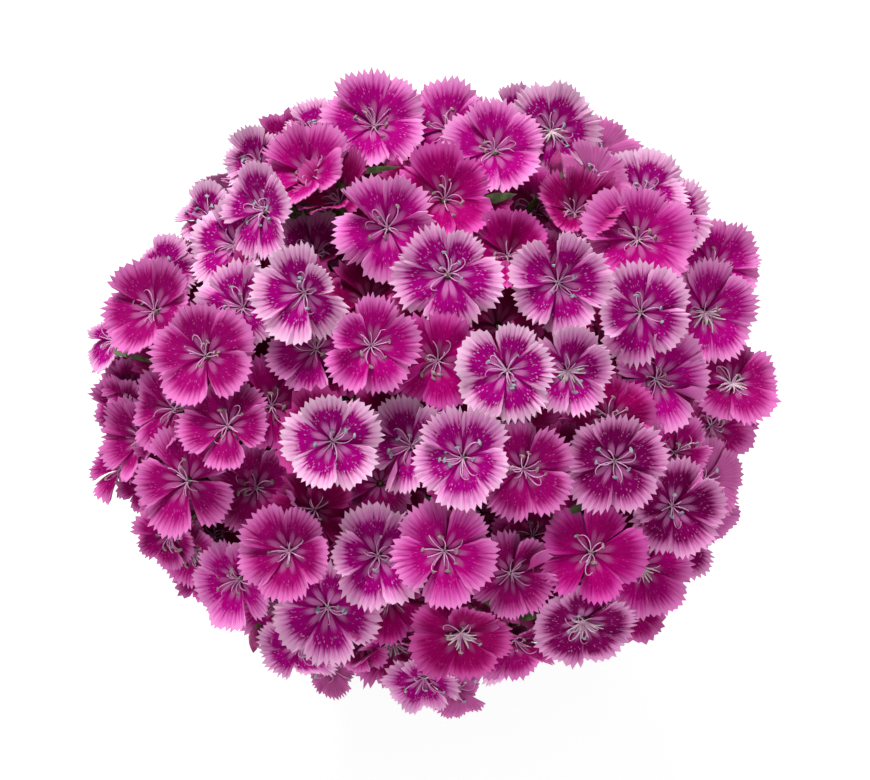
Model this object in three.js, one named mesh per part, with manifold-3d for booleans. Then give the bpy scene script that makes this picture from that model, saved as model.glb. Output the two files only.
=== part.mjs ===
// A dianthus in full flower in a plain round nursery pot. Fourteen leafy stems stand in the soil,
// and each carries a head of fringed five-petalled florets. Together the heads make one dome.
// Millimetres, +Z up. The origin is the middle of the pot's flat underside.
import * as THREE from "three";
import { mergeVertices } from "three/addons/utils/BufferGeometryUtils.js";
import Module from "manifold-3d";

// Pot
const POT_RIM_RADIUS = 58;
const POT_BASE_RADIUS = 40;
const POT_HEIGHT = 84;
const POT_WALL = 2;
const POT_FLOOR = 3;
const POT_RIM_BAND = 11;
const POT_RIM_STEP = 2.4;
const POT_SIDES = 32;
const DRAIN_HOLES = 5;
const DRAIN_RADIUS = 5;
const DRAIN_RING_RADIUS = 26;
const DRAIN_SIDES = 10;

// Soil
const SOIL_BELOW_RIM = 7;
const SOIL_DOME = 3;
const SOIL_SIDES = 24;
const SOIL_TOP = POT_HEIGHT - SOIL_BELOW_RIM + SOIL_DOME;
const SOIL_WALL_GAP = 0.6;
const FIT_GAP = 0.3;
const SLIVER = 0.06;

// Colours
const POT_COLOUR = 0x2f3130;
const SOIL_COLOUR = 0x3a2a20;
const LEAF_COLOUR = 0x54703a;
const PETAL_COLOUR = 0xc23a96;

// Dome of flowers
const DOME_CENTRE = new THREE.Vector3(-2, 0, 145);
const DOME_RADIUS_ACROSS = 96;
const DOME_RADIUS_DEEP = 90;
const DOME_RISE = 75;

// The florets' places are laid out on a plane through the dome's centre,
// as they line up from an eye above the front of the plant.
const EYE_ELEVATION = THREE.MathUtils.degToRad(68);
const EYE_DISTANCE = 950;
const LAYER_DEPTHS = [0, 3.5, 8];
const SINK_STEP = 0.75;
const SINK_STEPS = 26;
const PETAL_CLEARANCE = 1.4;
const NEIGHBOUR_REACH = 4;
const BOWL_RINGS = [[0.5, 6], [0.98, 14]];

// Floret
const PETALS = 5;
const CUP_LEAST = 1.5;
const CUP_SPREAD = 4;
const FOLDED_SHARE = 0.12;
const FOLDED_DROOP = -3;
const DROOP_SPREAD = 2.4;
const REACH_LEAST = 0.93;
const REACH_SPREAD = 0.07;
const FLORET_RADIUS_SPREAD = 2;
const TEETH = 3;
const SHADED_TEETH = 2;
const TOOTHED_SHARE = 0.76;
const TOOTH_DEPTH = 0.11;
const TOOTH_LIFT = 0.3;
const NOTCH_DROP = 0.1;
const RIM_ROUNDING = 0.05;
const SLIT_DEPTH = 0.36;
const SLIT_THICKNESS = 0.7;
const SLIT_DROOP_SHARE = 0.6;
const FLORET_CORE = 2.2;
const THROAT_DEPTH = 0.2;
const CALYX_LENGTH = 16;
const CALYX_RADIUS = 1.9;
const CALYX_TAPER = 0.85;
const STALK_RADIUS = 1.1;
const STALK_SIDES = 3;

// Heads and leafy stems
const HEAD_RINGS = [
  { count: 1, polar: 0, turn: 0, root: 0, leafLevels: [140] },
  { count: 5, polar: 42, turn: 0, root: 17, leafLevels: [118] },
  { count: 8, polar: 80, turn: 28, root: 35, leafLevels: [88, 97, 106, 115] },
];
const HUB_DEPTH = 45;
const HUB_RADIUS = 4;
const STEM_RADIUS = 2.2;
const STEM_SIDES = 5;
const STEM_ROOT_DEPTH = 22;
const STEM_FOOT_HANDLE = 0.45;
const STEM_TOP_HANDLE = 0.35;
const STEM_STATIONS = [0, 0.4, 0.72, 1];
const HALVINGS = 24;
const LEAF_LENGTH = 52;
const LEAF_WIDTH = 15;
const LEAF_THICKNESS = 1.3;
const LEAF_LIFT = 0.5;
const LEAF_DROP = 0.36;
const LEAF_FORESHORTENING = 0.08;
const LEAF_NARROWING = 0.15;
const LEAF_FOLD = 0.3;
const LEAF_THINNING = 0.45;
const LEAF_SWING = 1.2;
const LEAF_SCATTER = 0.12;
const LEAF_LENGTH_LEAST = 0.92;
const LEAF_LENGTH_SPREAD = 0.16;
const FRONT_LEAF_SHORTER = 0.38;
const INWARD_LEAF_SHARE = 0.3;
const LEAF_STEP = 5.5;
const INNER_LEAF_SHARE = 0.5;

// Along a leaf: how far out each station is and its share of the full width
const LEAF_STATIONS = [[0.02, 0.2], [0.32, 0.92], [0.68, 0.86], [1, 0.04]];

const FLORET_SEED = 500;
const LEAF_SEED = 900;

// Each row is one floret: its throat across and up the layout plane, its radius, how far it looks
// across and up (as parts of a unit direction), its layer (0 outermost) and one petal's bearing.
const FLORETS = [
  [-50, 55.5, 15.5, -0.72, 0.02, 0, 90],
  [-17, 81, 15.8, -0.05, 0.3, 0, 108],
  [19, 73.5, 16, 0.02, 0.3, 0, 92],
  [36, 79.5, 16, 0.2, 0.1, 0, 60],
  [-36, 66, 15.5, -0.35, 0.45, 0, 120],
  [-13, 50.5, 16.5, -0.03, 0.05, 0, 55],
  [5, 36.5, 16.5, 0.03, -0.05, 0, 270],
  [38, 34, 15.5, 0.05, -0.1, 0, 290],
  [62, 47, 17.5, 0.08, 0.32, 0, 10],
  [63, 25, 16, 0.05, -0.1, 0, 325],
  [22.8, 7.5, 15.5, 0, -0.05, 0, 296],
  [-18, 15, 16, 0, 0, 0, 222],
  [-38, 31, 15, -0.2, -0.15, 0, 250],
  [9.5, -18.5, 15.5, -0.02, 0.05, 0, 265],
  [-29.5, -13.5, 15.5, -0.05, -0.05, 0, 100],
  [27.6, -22, 15.5, 0, -0.1, 0, 320],
  [55, -19.5, 15.5, 0, -0.18, 0, 301],
  [-67.5, 12, 16, -0.25, 0.15, 0, 175],
  [-61, -9, 15.5, -0.15, 0.3, 0, 125],
  [-73, -25.5, 17, -0.38, 0.1, 0, 180],
  [-42.5, -46.5, 15.5, -0.18, 0, 0, 200],
  [-16, -48, 16, 0, 0.05, 0, 105],
  [4, -46.5, 16, 0.05, -0.08, 0, 270],
  [48, -47, 16, 0.05, -0.05, 0, 285],
  [72.5, -33, 15.5, 0.12, -0.12, 0, 300],
  [-31, -63.5, 16, -0.1, -0.2, 0, 350],
  [45.5, -67.5, 16, 0.1, -0.55, 0, 300],
  [9, -71, 16, 0, -0.45, 0, 70],
  [-57.5, -55, 14.8, -0.4, -0.25, 0, 200],
  [67.5, 5, 16, 0.18, -0.08, 1, 355],
  [-83, 25.5, 17.5, -0.4, 0.4, 0, 108],
  [-80.5, 37, 12, -0.45, 0.35, 1, 60],
  [-77, -4, 14.5, -0.62, 0, 0, 170],
  [82, 25, 16.5, 0.35, 0, 1, 20],
  [90, 3.5, 15.5, 0.25, 0.45, 0, 85],
  [84.5, 38.5, 15, 0.25, 0.35, 0, 30],
  [-58.5, 45, 15.5, -0.6, 0.25, 1, 150],
  [-51.5, 69.5, 11, -0.3, 0.2, 1, 100],
  [-33, 78.5, 11.5, -0.2, 0.5, 1, 110],
  [-66, 53, 10.5, -0.5, 0.4, 1, 150],
  [-56.5, 26.5, 14, -0.3, 0.1, 1, 110],
  [-35, 42, 14.5, 0.05, 0.25, 1, 60],
  [4.8, 80, 16, 0.05, 0.3, 1, 85],
  [63, 60.5, 15.5, 0.2, 0.3, 1, 60],
  [72, 53.5, 13.5, 0.4, 0.3, 1, 40],
  [4, 59, 16, 0, 0.25, 1, 100],
  [43, 55, 14.5, 0.25, 0.45, 1, 80],
  [23, 42, 14, 0, 0.3, 1, 110],
  [41, 7.5, 14, 0.1, -0.1, 1, 300],
  [53.5, -7, 14.5, 0.05, 0.2, 1, 100],
  [2, 10.5, 15, 0, 0, 1, 140],
  [-34.5, 14, 14, -0.2, 0, 1, 190],
  [-48, -3, 14.5, 0, 0.12, 1, 90],
  [-6, -15, 15, -0.3, 0, 1, 180],
  [-52.5, -27.5, 15, -0.05, 0.05, 1, 175],
  [-86, -13, 14.5, -0.74, 0, 1, 200],
  [-92, -21.5, 12, -0.7, 0.3, 1, 160],
  [-95, 16.5, 12.5, -0.6, 0.3, 1, 200],
  [-90, -4.5, 12.5, -0.6, -0.3, 1, 270],
  [-77.5, -41, 10.5, -0.5, -0.3, 1, 280],
  [-71, -46, 12.3, -0.45, -0.35, 1, 240],
  [-12.5, -61, 14, 0, -0.28, 1, 270],
  [24, -53, 14.5, 0.12, -0.15, 1, 330],
  [62.5, -51, 15, 0.35, -0.2, 1, 300],
  [25, -73, 13.5, 0.1, -0.8, 1, 200],
  [-11.5, -73.5, 14, 0.05, -0.82, 1, 190],
  [-2, -84.5, 12.5, -0.2, -0.6, 1, 230],
  [7.5, -87.5, 9, 0.45, -0.4, 1, 290],
  [-39, -74.5, 13, -0.35, -0.6, 1, 220],
  [-30.5, -81.5, 8.5, 0.5, -0.3, 1, 270],
  [84, -9, 14, 0.4, -0.3, 2, 250],
  [82, -25, 13, 0.5, -0.1, 2, 20],
  [80, -35, 12.5, 0.4, -0.3, 2, 340],
  [73, -44.5, 12.5, 0.35, -0.4, 2, 310],
  [73, -17, 11.5, 0.35, -0.1, 2, 60],
  [51, -40, 13.5, 0.05, 0.3, 2, 80],
  [30.5, -42, 13, 0, 0.1, 2, 40],
  [25, -9, 13.5, 0, 0.2, 2, 250],
  [-35, -34, 13.5, -0.1, 0, 2, 120],
  [-65, -42, 13.5, -0.25, 0, 2, 160],
  [-46, -62, 14, -0.3, -0.3, 2, 220],
  [-86, 7, 13.5, -0.72, 0.25, 2, 150],
  [-72, 35, 14, -0.55, 0.3, 2, 90],
  [-40, 53, 13.5, -0.12, 0.15, 2, 240],
  [25, 81.5, 11, 0.1, 0.4, 2, 90],
  [49.5, 72.5, 14.5, 0.25, 0.35, 2, 60],
  [48, 65, 13.5, 0.3, 0.6, 2, 20],
  [31, 55, 14.5, 0.1, 0.3, 2, 150],
];

// Florets that fill the rest of the dome where the rows leave it bare
const FILL_CANDIDATES = 190;
const FILL_SPACING_SEEN = 17;
const FILL_SPACING_BEHIND = 21;
const FILL_RADIUS_SEEN = 13.5;
const FILL_RADIUS_BEHIND = 15;
const FILL_LOWEST = -0.3;
const FILL_SEEN = 0.12;
const FILL_TUCK = 0.9;
const FILL_TUCK_ZONE = 0.4;
const FILL_LEAN = 0.35;
const FILL_LIFT = 0.3;
const FILL_SEED = 71;

const wasm = await Module();
wasm.setup();

// A small seeded random source, the same everywhere
function seededRandom(seed) {
  let state = seed >>> 0;
  return () => {
    state = (state + 0x6d2b79f5) >>> 0;
    let t = state;
    t = Math.imul(t ^ (t >>> 15), t | 1);
    t ^= t + Math.imul(t ^ (t >>> 7), t | 61);
    return ((t ^ (t >>> 14)) >>> 0) / 4294967296;
  };
}

const EYE_RIGHT = new THREE.Vector3(1, 0, 0);
const EYE_UP = new THREE.Vector3(0, Math.sin(EYE_ELEVATION), Math.cos(EYE_ELEVATION));
const EYE_TOWARD = new THREE.Vector3(0, -Math.cos(EYE_ELEVATION), Math.sin(EYE_ELEVATION));
const EYE = DOME_CENTRE.clone().addScaledVector(EYE_TOWARD, EYE_DISTANCE);
const DOME_RADII = new THREE.Vector3(DOME_RADIUS_ACROSS, DOME_RADIUS_DEEP, DOME_RISE);

// The nearest place on the dome that lies behind a point of the layout plane
function ontoDome(across, up) {
  const target = DOME_CENTRE.clone()
    .addScaledVector(EYE_RIGHT, across - DOME_CENTRE.x)
    .addScaledVector(EYE_UP, up);
  const ray = target.clone().sub(EYE).normalize();
  const start = EYE.clone().sub(DOME_CENTRE).divide(DOME_RADII);
  const step = ray.clone().divide(DOME_RADII);
  const a = step.dot(step);
  const b = start.dot(step);
  const c = start.dot(start) - 1;
  const inside = b * b - a * c;
  const along = (-b - Math.sqrt(Math.max(inside, 0))) / a;
  const unit = start.addScaledVector(step, along);
  if (inside < 0) {
    unit.normalize();
  }
  return unit.multiply(DOME_RADII).add(DOME_CENTRE);
}

function faceDirection(faceAcross, faceUp) {
  const toward = Math.sqrt(1 - faceAcross * faceAcross - faceUp * faceUp);
  return new THREE.Vector3()
    .addScaledVector(EYE_RIGHT, faceAcross)
    .addScaledVector(EYE_UP, faceUp)
    .addScaledVector(EYE_TOWARD, toward)
    .normalize();
}

// What one floret has of its own: how far its petals rise, and each petal's droop and length
function withOwnShape(floret, index) {
  const random = seededRandom(FLORET_SEED + index);
  floret.cup = CUP_LEAST + CUP_SPREAD * random();
  floret.droops = [];
  floret.reaches = [];
  for (let k = 0; k < PETALS; k += 1) {
    const roll = random();
    floret.droops.push(roll < FOLDED_SHARE ? FOLDED_DROOP : DROOP_SPREAD * (random() - 0.5));
    floret.reaches.push(REACH_LEAST + REACH_SPREAD * random());
  }
  return floret;
}

function floretAxes(floret) {
  const right = EYE_RIGHT.clone().addScaledVector(floret.normal, -EYE_RIGHT.dot(floret.normal));
  right.normalize();
  const up = floret.normal.clone().cross(right);
  const turn = THREE.MathUtils.degToRad(floret.spin);
  const east = right.clone().multiplyScalar(Math.cos(turn)).addScaledVector(up, Math.sin(turn));
  const north = floret.normal.clone().cross(east);
  return { east, north };
}

// Points over one floret's shallow bowl, for telling whether two florets touch
function bowlPoints(floret) {
  const { east, north } = floretAxes(floret);
  const points = [floret.place.clone()];
  for (const [share, count] of BOWL_RINGS) {
    for (let k = 0; k < count; k += 1) {
      const angle = (2 * Math.PI * k) / count;
      points.push(
        floret.place.clone()
          .addScaledVector(east, Math.cos(angle) * share * floret.radius)
          .addScaledVector(north, Math.sin(angle) * share * floret.radius)
          .addScaledVector(floret.normal, share * floret.cup),
      );
    }
  }
  return points;
}

// How many of one floret's points are on the wrong side of, or too near, another's bowl
function touches(points, other) {
  let above = 0;
  let below = 0;
  let near = 0;
  const offset = new THREE.Vector3();
  for (const point of points) {
    offset.copy(point).sub(other.place);
    const height = offset.dot(other.normal);
    const out = Math.sqrt(Math.max(offset.lengthSq() - height * height, 0)) / other.radius;
    if (out < 1) {
      const over = height - other.cup * out;
      if (Math.abs(over) < PETAL_CLEARANCE) {
        near += 1;
      } else if (over > 0) {
        above += 1;
      } else {
        below += 1;
      }
    }
  }
  return near + Math.min(above, below);
}

// Sinks a floret away from the eye until its petals lie clear of all those placed before it
function settle(floret, settled) {
  const away = floret.place.clone().sub(EYE).normalize();
  const start = floret.place.clone().addScaledVector(away, LAYER_DEPTHS[floret.layer]);
  let best = null;
  for (let k = 0; k < SINK_STEPS; k += 1) {
    floret.place = start.clone().addScaledVector(away, k * SINK_STEP);
    const points = bowlPoints(floret);
    let count = 0;
    for (const other of settled) {
      if (other.place.distanceTo(floret.place) < other.radius + floret.radius + NEIGHBOUR_REACH) {
        count += touches(points, other) + touches(other.points, floret);
      }
    }
    if (best === null || count < best.count) {
      best = { count, place: floret.place.clone(), points };
    }
    if (count === 0) {
      break;
    }
  }
  floret.place = best.place;
  floret.points = best.points;
  settled.push(floret);
}

function laidOutFlorets() {
  const florets = [];
  for (const [across, up, radius, faceAcross, faceUp, layer, spin] of FLORETS) {
    const floret = { radius, layer, spin, teeth: layer === 0 ? TEETH : SHADED_TEETH };
    floret.place = ontoDome(across, up);
    floret.normal = faceDirection(faceAcross, faceUp);
    settle(withOwnShape(floret, florets.length), florets);
  }
  const random = seededRandom(FILL_SEED);
  const golden = Math.PI * (3 - Math.sqrt(5));
  for (let k = 0; k < FILL_CANDIDATES; k += 1) {
    const height = 1 - ((1 - FILL_LOWEST) * (k + 0.5)) / FILL_CANDIDATES;
    const level = Math.sqrt(1 - height * height);
    const place = new THREE.Vector3(level * Math.cos(k * golden), level * Math.sin(k * golden), height);
    const normal = place.clone().divide(DOME_RADII).normalize();
    const facing = normal.dot(EYE_TOWARD);
    const tuck = Math.abs(facing) < FILL_TUCK_ZONE ? FILL_TUCK : 1;
    place.multiply(DOME_RADII).multiplyScalar(tuck).add(DOME_CENTRE);
    const seen = facing > FILL_SEEN;
    const spacing = seen ? FILL_SPACING_SEEN : FILL_SPACING_BEHIND;
    const draws = [random(), random(), random(), random()];
    if (florets.every((other) => other.place.distanceTo(place) > spacing)) {
      normal.x += FILL_LEAN * (draws[0] - 0.5);
      normal.z += FILL_LIFT * draws[1];
      const floret = { place, normal: normal.normalize(), layer: seen ? 2 : 0, teeth: SHADED_TEETH };
      floret.radius = (seen ? FILL_RADIUS_SEEN : FILL_RADIUS_BEHIND) + FLORET_RADIUS_SPREAD * draws[2];
      floret.spin = 360 * draws[3];
      settle(withOwnShape(floret, florets.length), florets);
    }
  }
  return florets;
}

// The hub each head's florets branch from, one for each stem
function headHubs() {
  const hubs = [];
  for (const ring of HEAD_RINGS) {
    for (let k = 0; k < ring.count; k += 1) {
      const turn = THREE.MathUtils.degToRad(ring.turn + (360 * k) / ring.count);
      const polar = THREE.MathUtils.degToRad(ring.polar);
      const axis = new THREE.Vector3(
        Math.sin(polar) * Math.cos(turn),
        Math.sin(polar) * Math.sin(turn),
        Math.cos(polar),
      );
      const reach = 1 / axis.clone().divide(DOME_RADII).length();
      const centre = DOME_CENTRE.clone().addScaledVector(axis, reach - HUB_DEPTH);
      const root = new THREE.Vector3(ring.root * Math.cos(turn), ring.root * Math.sin(turn), 0);
      const side = new THREE.Vector3(-Math.sin(turn), Math.cos(turn), 0);
      const lastOfOdd = ring.count % 2 === 1 && k === ring.count - 1;
      hubs.push({ axis, centre, root, side, turn, ring, step: lastOfOdd ? 2 : k % 2 });
    }
  }
  return hubs;
}

// Closed mesh from rings of points that each have the same count, with its two ends filled in
function skinned(rings) {
  const count = rings[0].length;
  const positions = [];
  const faces = [];
  for (const ring of rings) {
    for (const point of ring) {
      positions.push(point.x, point.y, point.z);
    }
  }
  for (let r = 0; r + 1 < rings.length; r += 1) {
    for (let k = 0; k < count; k += 1) {
      const a = r * count + k;
      const b = r * count + ((k + 1) % count);
      faces.push(a, b, a + count, b, b + count, a + count);
    }
  }
  const last = (rings.length - 1) * count;
  for (let k = 1; k + 1 < count; k += 1) {
    faces.push(0, k + 1, k, last, last + k, last + k + 1);
  }
  return solidOf(positions, faces);
}

function solidOf(positions, faces) {
  const mesh = new wasm.Mesh({
    numProp: 3,
    vertProperties: new Float32Array(positions),
    triVerts: new Uint32Array(faces),
  });
  return new wasm.Manifold(mesh);
}

function solidFromGeometry(geometry) {
  const plain = geometry.index ? geometry.toNonIndexed() : geometry.clone();
  plain.deleteAttribute("normal");
  plain.deleteAttribute("uv");
  const merged = mergeVertices(plain, 1e-3);
  return solidOf(merged.attributes.position.array, merged.index.array);
}

// A ring of points square to a direction, with its first point on the given side
function ringAround(centre, along, side, radius, sides) {
  const other = along.clone().normalize().cross(side);
  const ring = [];
  for (let k = 0; k < sides; k += 1) {
    const angle = (2 * Math.PI * k) / sides;
    ring.push(
      centre.clone()
        .addScaledVector(side, Math.cos(angle) * radius)
        .addScaledVector(other, Math.sin(angle) * radius),
    );
  }
  return ring;
}

// One floret: five toothed petals in a shallow bowl on a calyx tube, and the stalk to its hub.
// `extra` thickens it all round, for cutting clearance out of a neighbour.
function floretSolid(floret, hub, extra) {
  const { east, north } = floretAxes(floret);
  const at = (x, y, z) => floret.place.clone()
    .addScaledVector(east, x).addScaledVector(north, y).addScaledVector(floret.normal, z);
  const rim = [];
  const sector = (2 * Math.PI) / PETALS;
  const { teeth } = floret;
  const toothStep = (sector * TOOTHED_SHARE) / (teeth - 1) / 2;
  for (let k = 0; k < PETALS; k += 1) {
    const middle = k * sector;
    const reach = floret.radius * floret.reaches[k];
    const before = floret.reaches[(k + PETALS - 1) % PETALS] * floret.radius;
    const slitDroop = (floret.droops[k] + floret.droops[(k + PETALS - 1) % PETALS]) / 2;
    rim.push({
      angle: middle - sector / 2,
      out: Math.min(reach, before) * (1 - SLIT_DEPTH),
      rise: slitDroop * SLIT_DROOP_SHARE,
      slit: true,
    });
    for (let t = 0; t < 2 * teeth - 1; t += 1) {
      const fromMiddle = t - (teeth - 1);
      const tip = t % 2 === 0;
      const round = 1 - (RIM_ROUNDING * Math.abs(fromMiddle)) / (teeth - 1);
      rim.push({
        angle: middle + fromMiddle * toothStep,
        out: reach * round * (tip ? 1 : 1 - TOOTH_DEPTH),
        rise: floret.droops[k] + (tip ? TOOTH_LIFT : -NOTCH_DROP),
        slit: false,
      });
    }
  }
  const positions = [];
  const add = (point) => {
    positions.push(point.x, point.y, point.z);
    return positions.length / 3 - 1;
  };
  const throat = add(at(0, 0, extra - THROAT_DEPTH));
  const tops = [];
  const bottoms = [];
  for (const edge of rim) {
    const out = edge.out + extra;
    const x = out * Math.cos(edge.angle);
    const y = out * Math.sin(edge.angle);
    const rise = floret.cup * (out / floret.radius) + edge.rise;
    if (edge.slit || extra > 0) {
      const half = (edge.slit ? SLIT_THICKNESS / 2 : 0) + extra;
      tops.push(add(at(x, y, rise + half)));
      bottoms.push(add(at(x, y, rise - half)));
    } else {
      const shared = add(at(x, y, rise));
      tops.push(shared);
      bottoms.push(shared);
    }
  }
  const calyxFoot = at(0, 0, -CALYX_LENGTH);
  const neck = [];
  const neckRing = [];
  for (let k = 0; k < STALK_SIDES; k += 1) {
    const angle = (2 * Math.PI * (k + 0.5)) / STALK_SIDES;
    const x = (CALYX_RADIUS + extra) * Math.cos(angle);
    const y = (CALYX_RADIUS + extra) * Math.sin(angle);
    neck.push(add(at(x, y, -FLORET_CORE - extra)));
    neckRing.push({ angle, x, y });
  }
  const toHub = hub.centre.clone().sub(calyxFoot);
  toHub.setLength(toHub.length() + STALK_RADIUS);
  const stalkWay = toHub.clone().negate().normalize();
  const bend = stalkWay.clone().add(floret.normal).normalize();
  const turnedRing = (centre, facing, scale) => {
    const turn = new THREE.Quaternion().setFromUnitVectors(floret.normal, facing);
    return neckRing.map(({ x, y }) => {
      const arm = east.clone().multiplyScalar(x * scale).addScaledVector(north, y * scale);
      return add(arm.applyQuaternion(turn).add(centre));
    });
  };
  const foot = turnedRing(calyxFoot, bend, CALYX_TAPER);
  const endScale = (STALK_RADIUS + extra) / (CALYX_RADIUS + extra);
  const end = turnedRing(calyxFoot.clone().add(toHub), stalkWay, endScale);
  const faces = [];
  const count = rim.length;
  for (let k = 0; k < count; k += 1) {
    const next = (k + 1) % count;
    faces.push(throat, tops[k], tops[next]);
    if (tops[k] !== bottoms[k] && tops[next] !== bottoms[next]) {
      faces.push(tops[k], bottoms[k], bottoms[next], tops[k], bottoms[next], tops[next]);
    } else if (tops[k] !== bottoms[k]) {
      faces.push(tops[k], bottoms[k], tops[next]);
    } else {
      faces.push(tops[k], bottoms[next], tops[next]);
    }
  }
  const perSide = count / STALK_SIDES;
  const nearest = (k) => Math.floor((k + 0.5) / perSide) % STALK_SIDES;
  for (let k = 0; k < count; k += 1) {
    const next = (k + 1) % count;
    const here = nearest(k);
    const after = nearest(next);
    faces.push(bottoms[next], bottoms[k], neck[here]);
    if (here !== after) {
      faces.push(bottoms[next], neck[here], neck[after]);
    }
  }
  for (const [upper, lower] of [[neck, foot], [foot, end]]) {
    for (let k = 0; k < STALK_SIDES; k += 1) {
      const next = (k + 1) % STALK_SIDES;
      faces.push(upper[k], lower[k], upper[next], upper[next], lower[k], lower[next]);
    }
  }
  for (let k = 1; k + 1 < STALK_SIDES; k += 1) {
    faces.push(end[0], end[k + 1], end[k]);
  }
  return solidOf(positions, faces);
}

// A box round a solid, for passing over pairs that are far apart
function boxAround(solid) {
  const { min, max } = solid.boundingBox();
  return new THREE.Box3(new THREE.Vector3(...min), new THREE.Vector3(...max));
}

// The one body that a join is meant to give, without loose scraps, sealed hollows or slivers
function wholePiece(solid) {
  const pieces = solid.simplify(SLIVER).decompose();
  return pieces.reduce((best, piece) => (piece.volume() > best.volume() ? piece : best));
}

// Cuts a solid back from the shapes that lie in its way
function cutClear(solid, blockers) {
  const box = boxAround(solid);
  let cut = solid;
  for (const blocker of blockers) {
    if (box.intersectsBox(blocker.box)) {
      cut = cut.subtract(blocker.solid);
    }
  }
  return cut;
}

// The way a stem points where it meets its hub
function hubAlong(hub) {
  return hub.axis.clone().add(new THREE.Vector3(0, 0, 1)).normalize();
}

// The knob at a stem's top that a head's stalks join
function hubSolid(hub) {
  const along = hubAlong(hub);
  const ring = (shift, radius) => {
    const centre = hub.centre.clone().addScaledVector(along, shift);
    return ringAround(centre, along, hub.side, radius, STEM_SIDES);
  };
  return skinned([ring(-HUB_RADIUS, STEM_RADIUS), ring(0, HUB_RADIUS), ring(HUB_RADIUS, STEM_RADIUS)]);
}

// Each floret goes to the head whose axis it lies nearest
function shareOut(florets, hubs) {
  for (const floret of florets) {
    const outward = floret.place.clone().sub(DOME_CENTRE).normalize();
    floret.head = 0;
    hubs.forEach((hub, k) => {
      if (hub.axis.dot(outward) > hubs[floret.head].axis.dot(outward)) {
        floret.head = k;
      }
    });
  }
}

// Every floret with clearance round it
function fatFlorets(florets, hubs) {
  return florets.map((floret) => {
    const solid = floretSolid(floret, hubs[floret.head], FIT_GAP);
    return { solid, box: boxAround(solid), head: floret.head };
  });
}

// One head: its florets fused to its hub, cut clear of other heads' florets that lie over them
function headSolid(hub, head, florets, fats) {
  const parts = [hubSolid(hub)];
  florets.forEach((floret, k) => {
    if (floret.head === head) {
      const blockers = fats.filter((fat, other) => other < k && fat.head !== head);
      parts.push(cutClear(floretSolid(floret, hub, 0), blockers));
    }
  });
  return wholePiece(wasm.Manifold.union(parts));
}

function stemCurve(hub) {
  const foot = hub.root.clone().setZ(SOIL_TOP - STEM_ROOT_DEPTH);
  const along = hubAlong(hub);
  const top = hub.centre.clone().addScaledVector(along, -HUB_RADIUS - FIT_GAP);
  const rise = top.z - foot.z;
  return new THREE.CubicBezierCurve3(
    foot,
    foot.clone().add(new THREE.Vector3(0, 0, rise * STEM_FOOT_HANDLE)),
    top.clone().addScaledVector(along, -rise * STEM_TOP_HANDLE),
    top,
  );
}

function stemSolid(hub, curve, extra) {
  const rings = STEM_STATIONS.map((t) => {
    return ringAround(curve.getPoint(t), curve.getTangent(t), hub.side, STEM_RADIUS + extra, STEM_SIDES);
  });
  return skinned(rings);
}

// Where a stem passes a height
function pointAtHeight(curve, height) {
  let low = 0;
  let high = 1;
  for (let k = 0; k < HALVINGS; k += 1) {
    const middle = (low + high) / 2;
    if (curve.getPoint(middle).z < height) {
      low = middle;
    } else {
      high = middle;
    }
  }
  return curve.getPoint(low);
}

// A lance-shaped blade with a raised midrib, arching out from a stem
function leafSolid({ root, heading, length }, extra) {
  const out = new THREE.Vector3(Math.cos(heading), Math.sin(heading), 0);
  const side = new THREE.Vector3(-Math.sin(heading), Math.cos(heading), 0);
  const rings = LEAF_STATIONS.map(([t, share]) => {
    const centre = root.clone().addScaledVector(out, length * t * (1 - LEAF_FORESHORTENING * t));
    centre.z += length * (LEAF_LIFT * t - LEAF_DROP * t * t);
    const half = (LEAF_WIDTH / 2) * share * Math.min(length / LEAF_LENGTH + LEAF_NARROWING, 1) + extra;
    const thick = (LEAF_THICKNESS / 2) * (1 - LEAF_THINNING * t) + extra;
    const edge = centre.z + half * LEAF_FOLD;
    return [
      centre.clone().addScaledVector(side, half).setZ(edge),
      centre.clone().setZ(centre.z + thick),
      centre.clone().addScaledVector(side, -half).setZ(edge),
      centre.clone().setZ(centre.z - thick),
    ];
  });
  return skinned(rings);
}

// Leaves sit in opposite pairs, and neighbouring stems bear them at different heights
function leavesOf(hub, curve, index) {
  const outer = hub.ring === HEAD_RINGS.at(-1);
  const random = seededRandom(LEAF_SEED + index);
  const leaves = [];
  hub.ring.leafLevels.forEach((level, k) => {
    const root = pointAtHeight(curve, level + hub.step * LEAF_STEP);
    const acrossStem = outer ? k % 2 === 0 : true;
    for (const hand of [-1, 1]) {
      const swing = acrossStem ? hand * LEAF_SWING : (1 - hand) * (Math.PI / 2);
      const heading = hub.turn + swing + LEAF_SCATTER * (random() - 0.5);
      const frontness = Math.max(-Math.sin(heading), 0);
      const outwardShare = acrossStem || hand > 0 ? 1 - FRONT_LEAF_SHORTER * frontness : INWARD_LEAF_SHARE;
      const share = outer ? outwardShare : INNER_LEAF_SHARE;
      const length = LEAF_LENGTH * share * (LEAF_LENGTH_LEAST + LEAF_LENGTH_SPREAD * random());
      leaves.push({ root, heading, length });
    }
  });
  return leaves;
}

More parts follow.
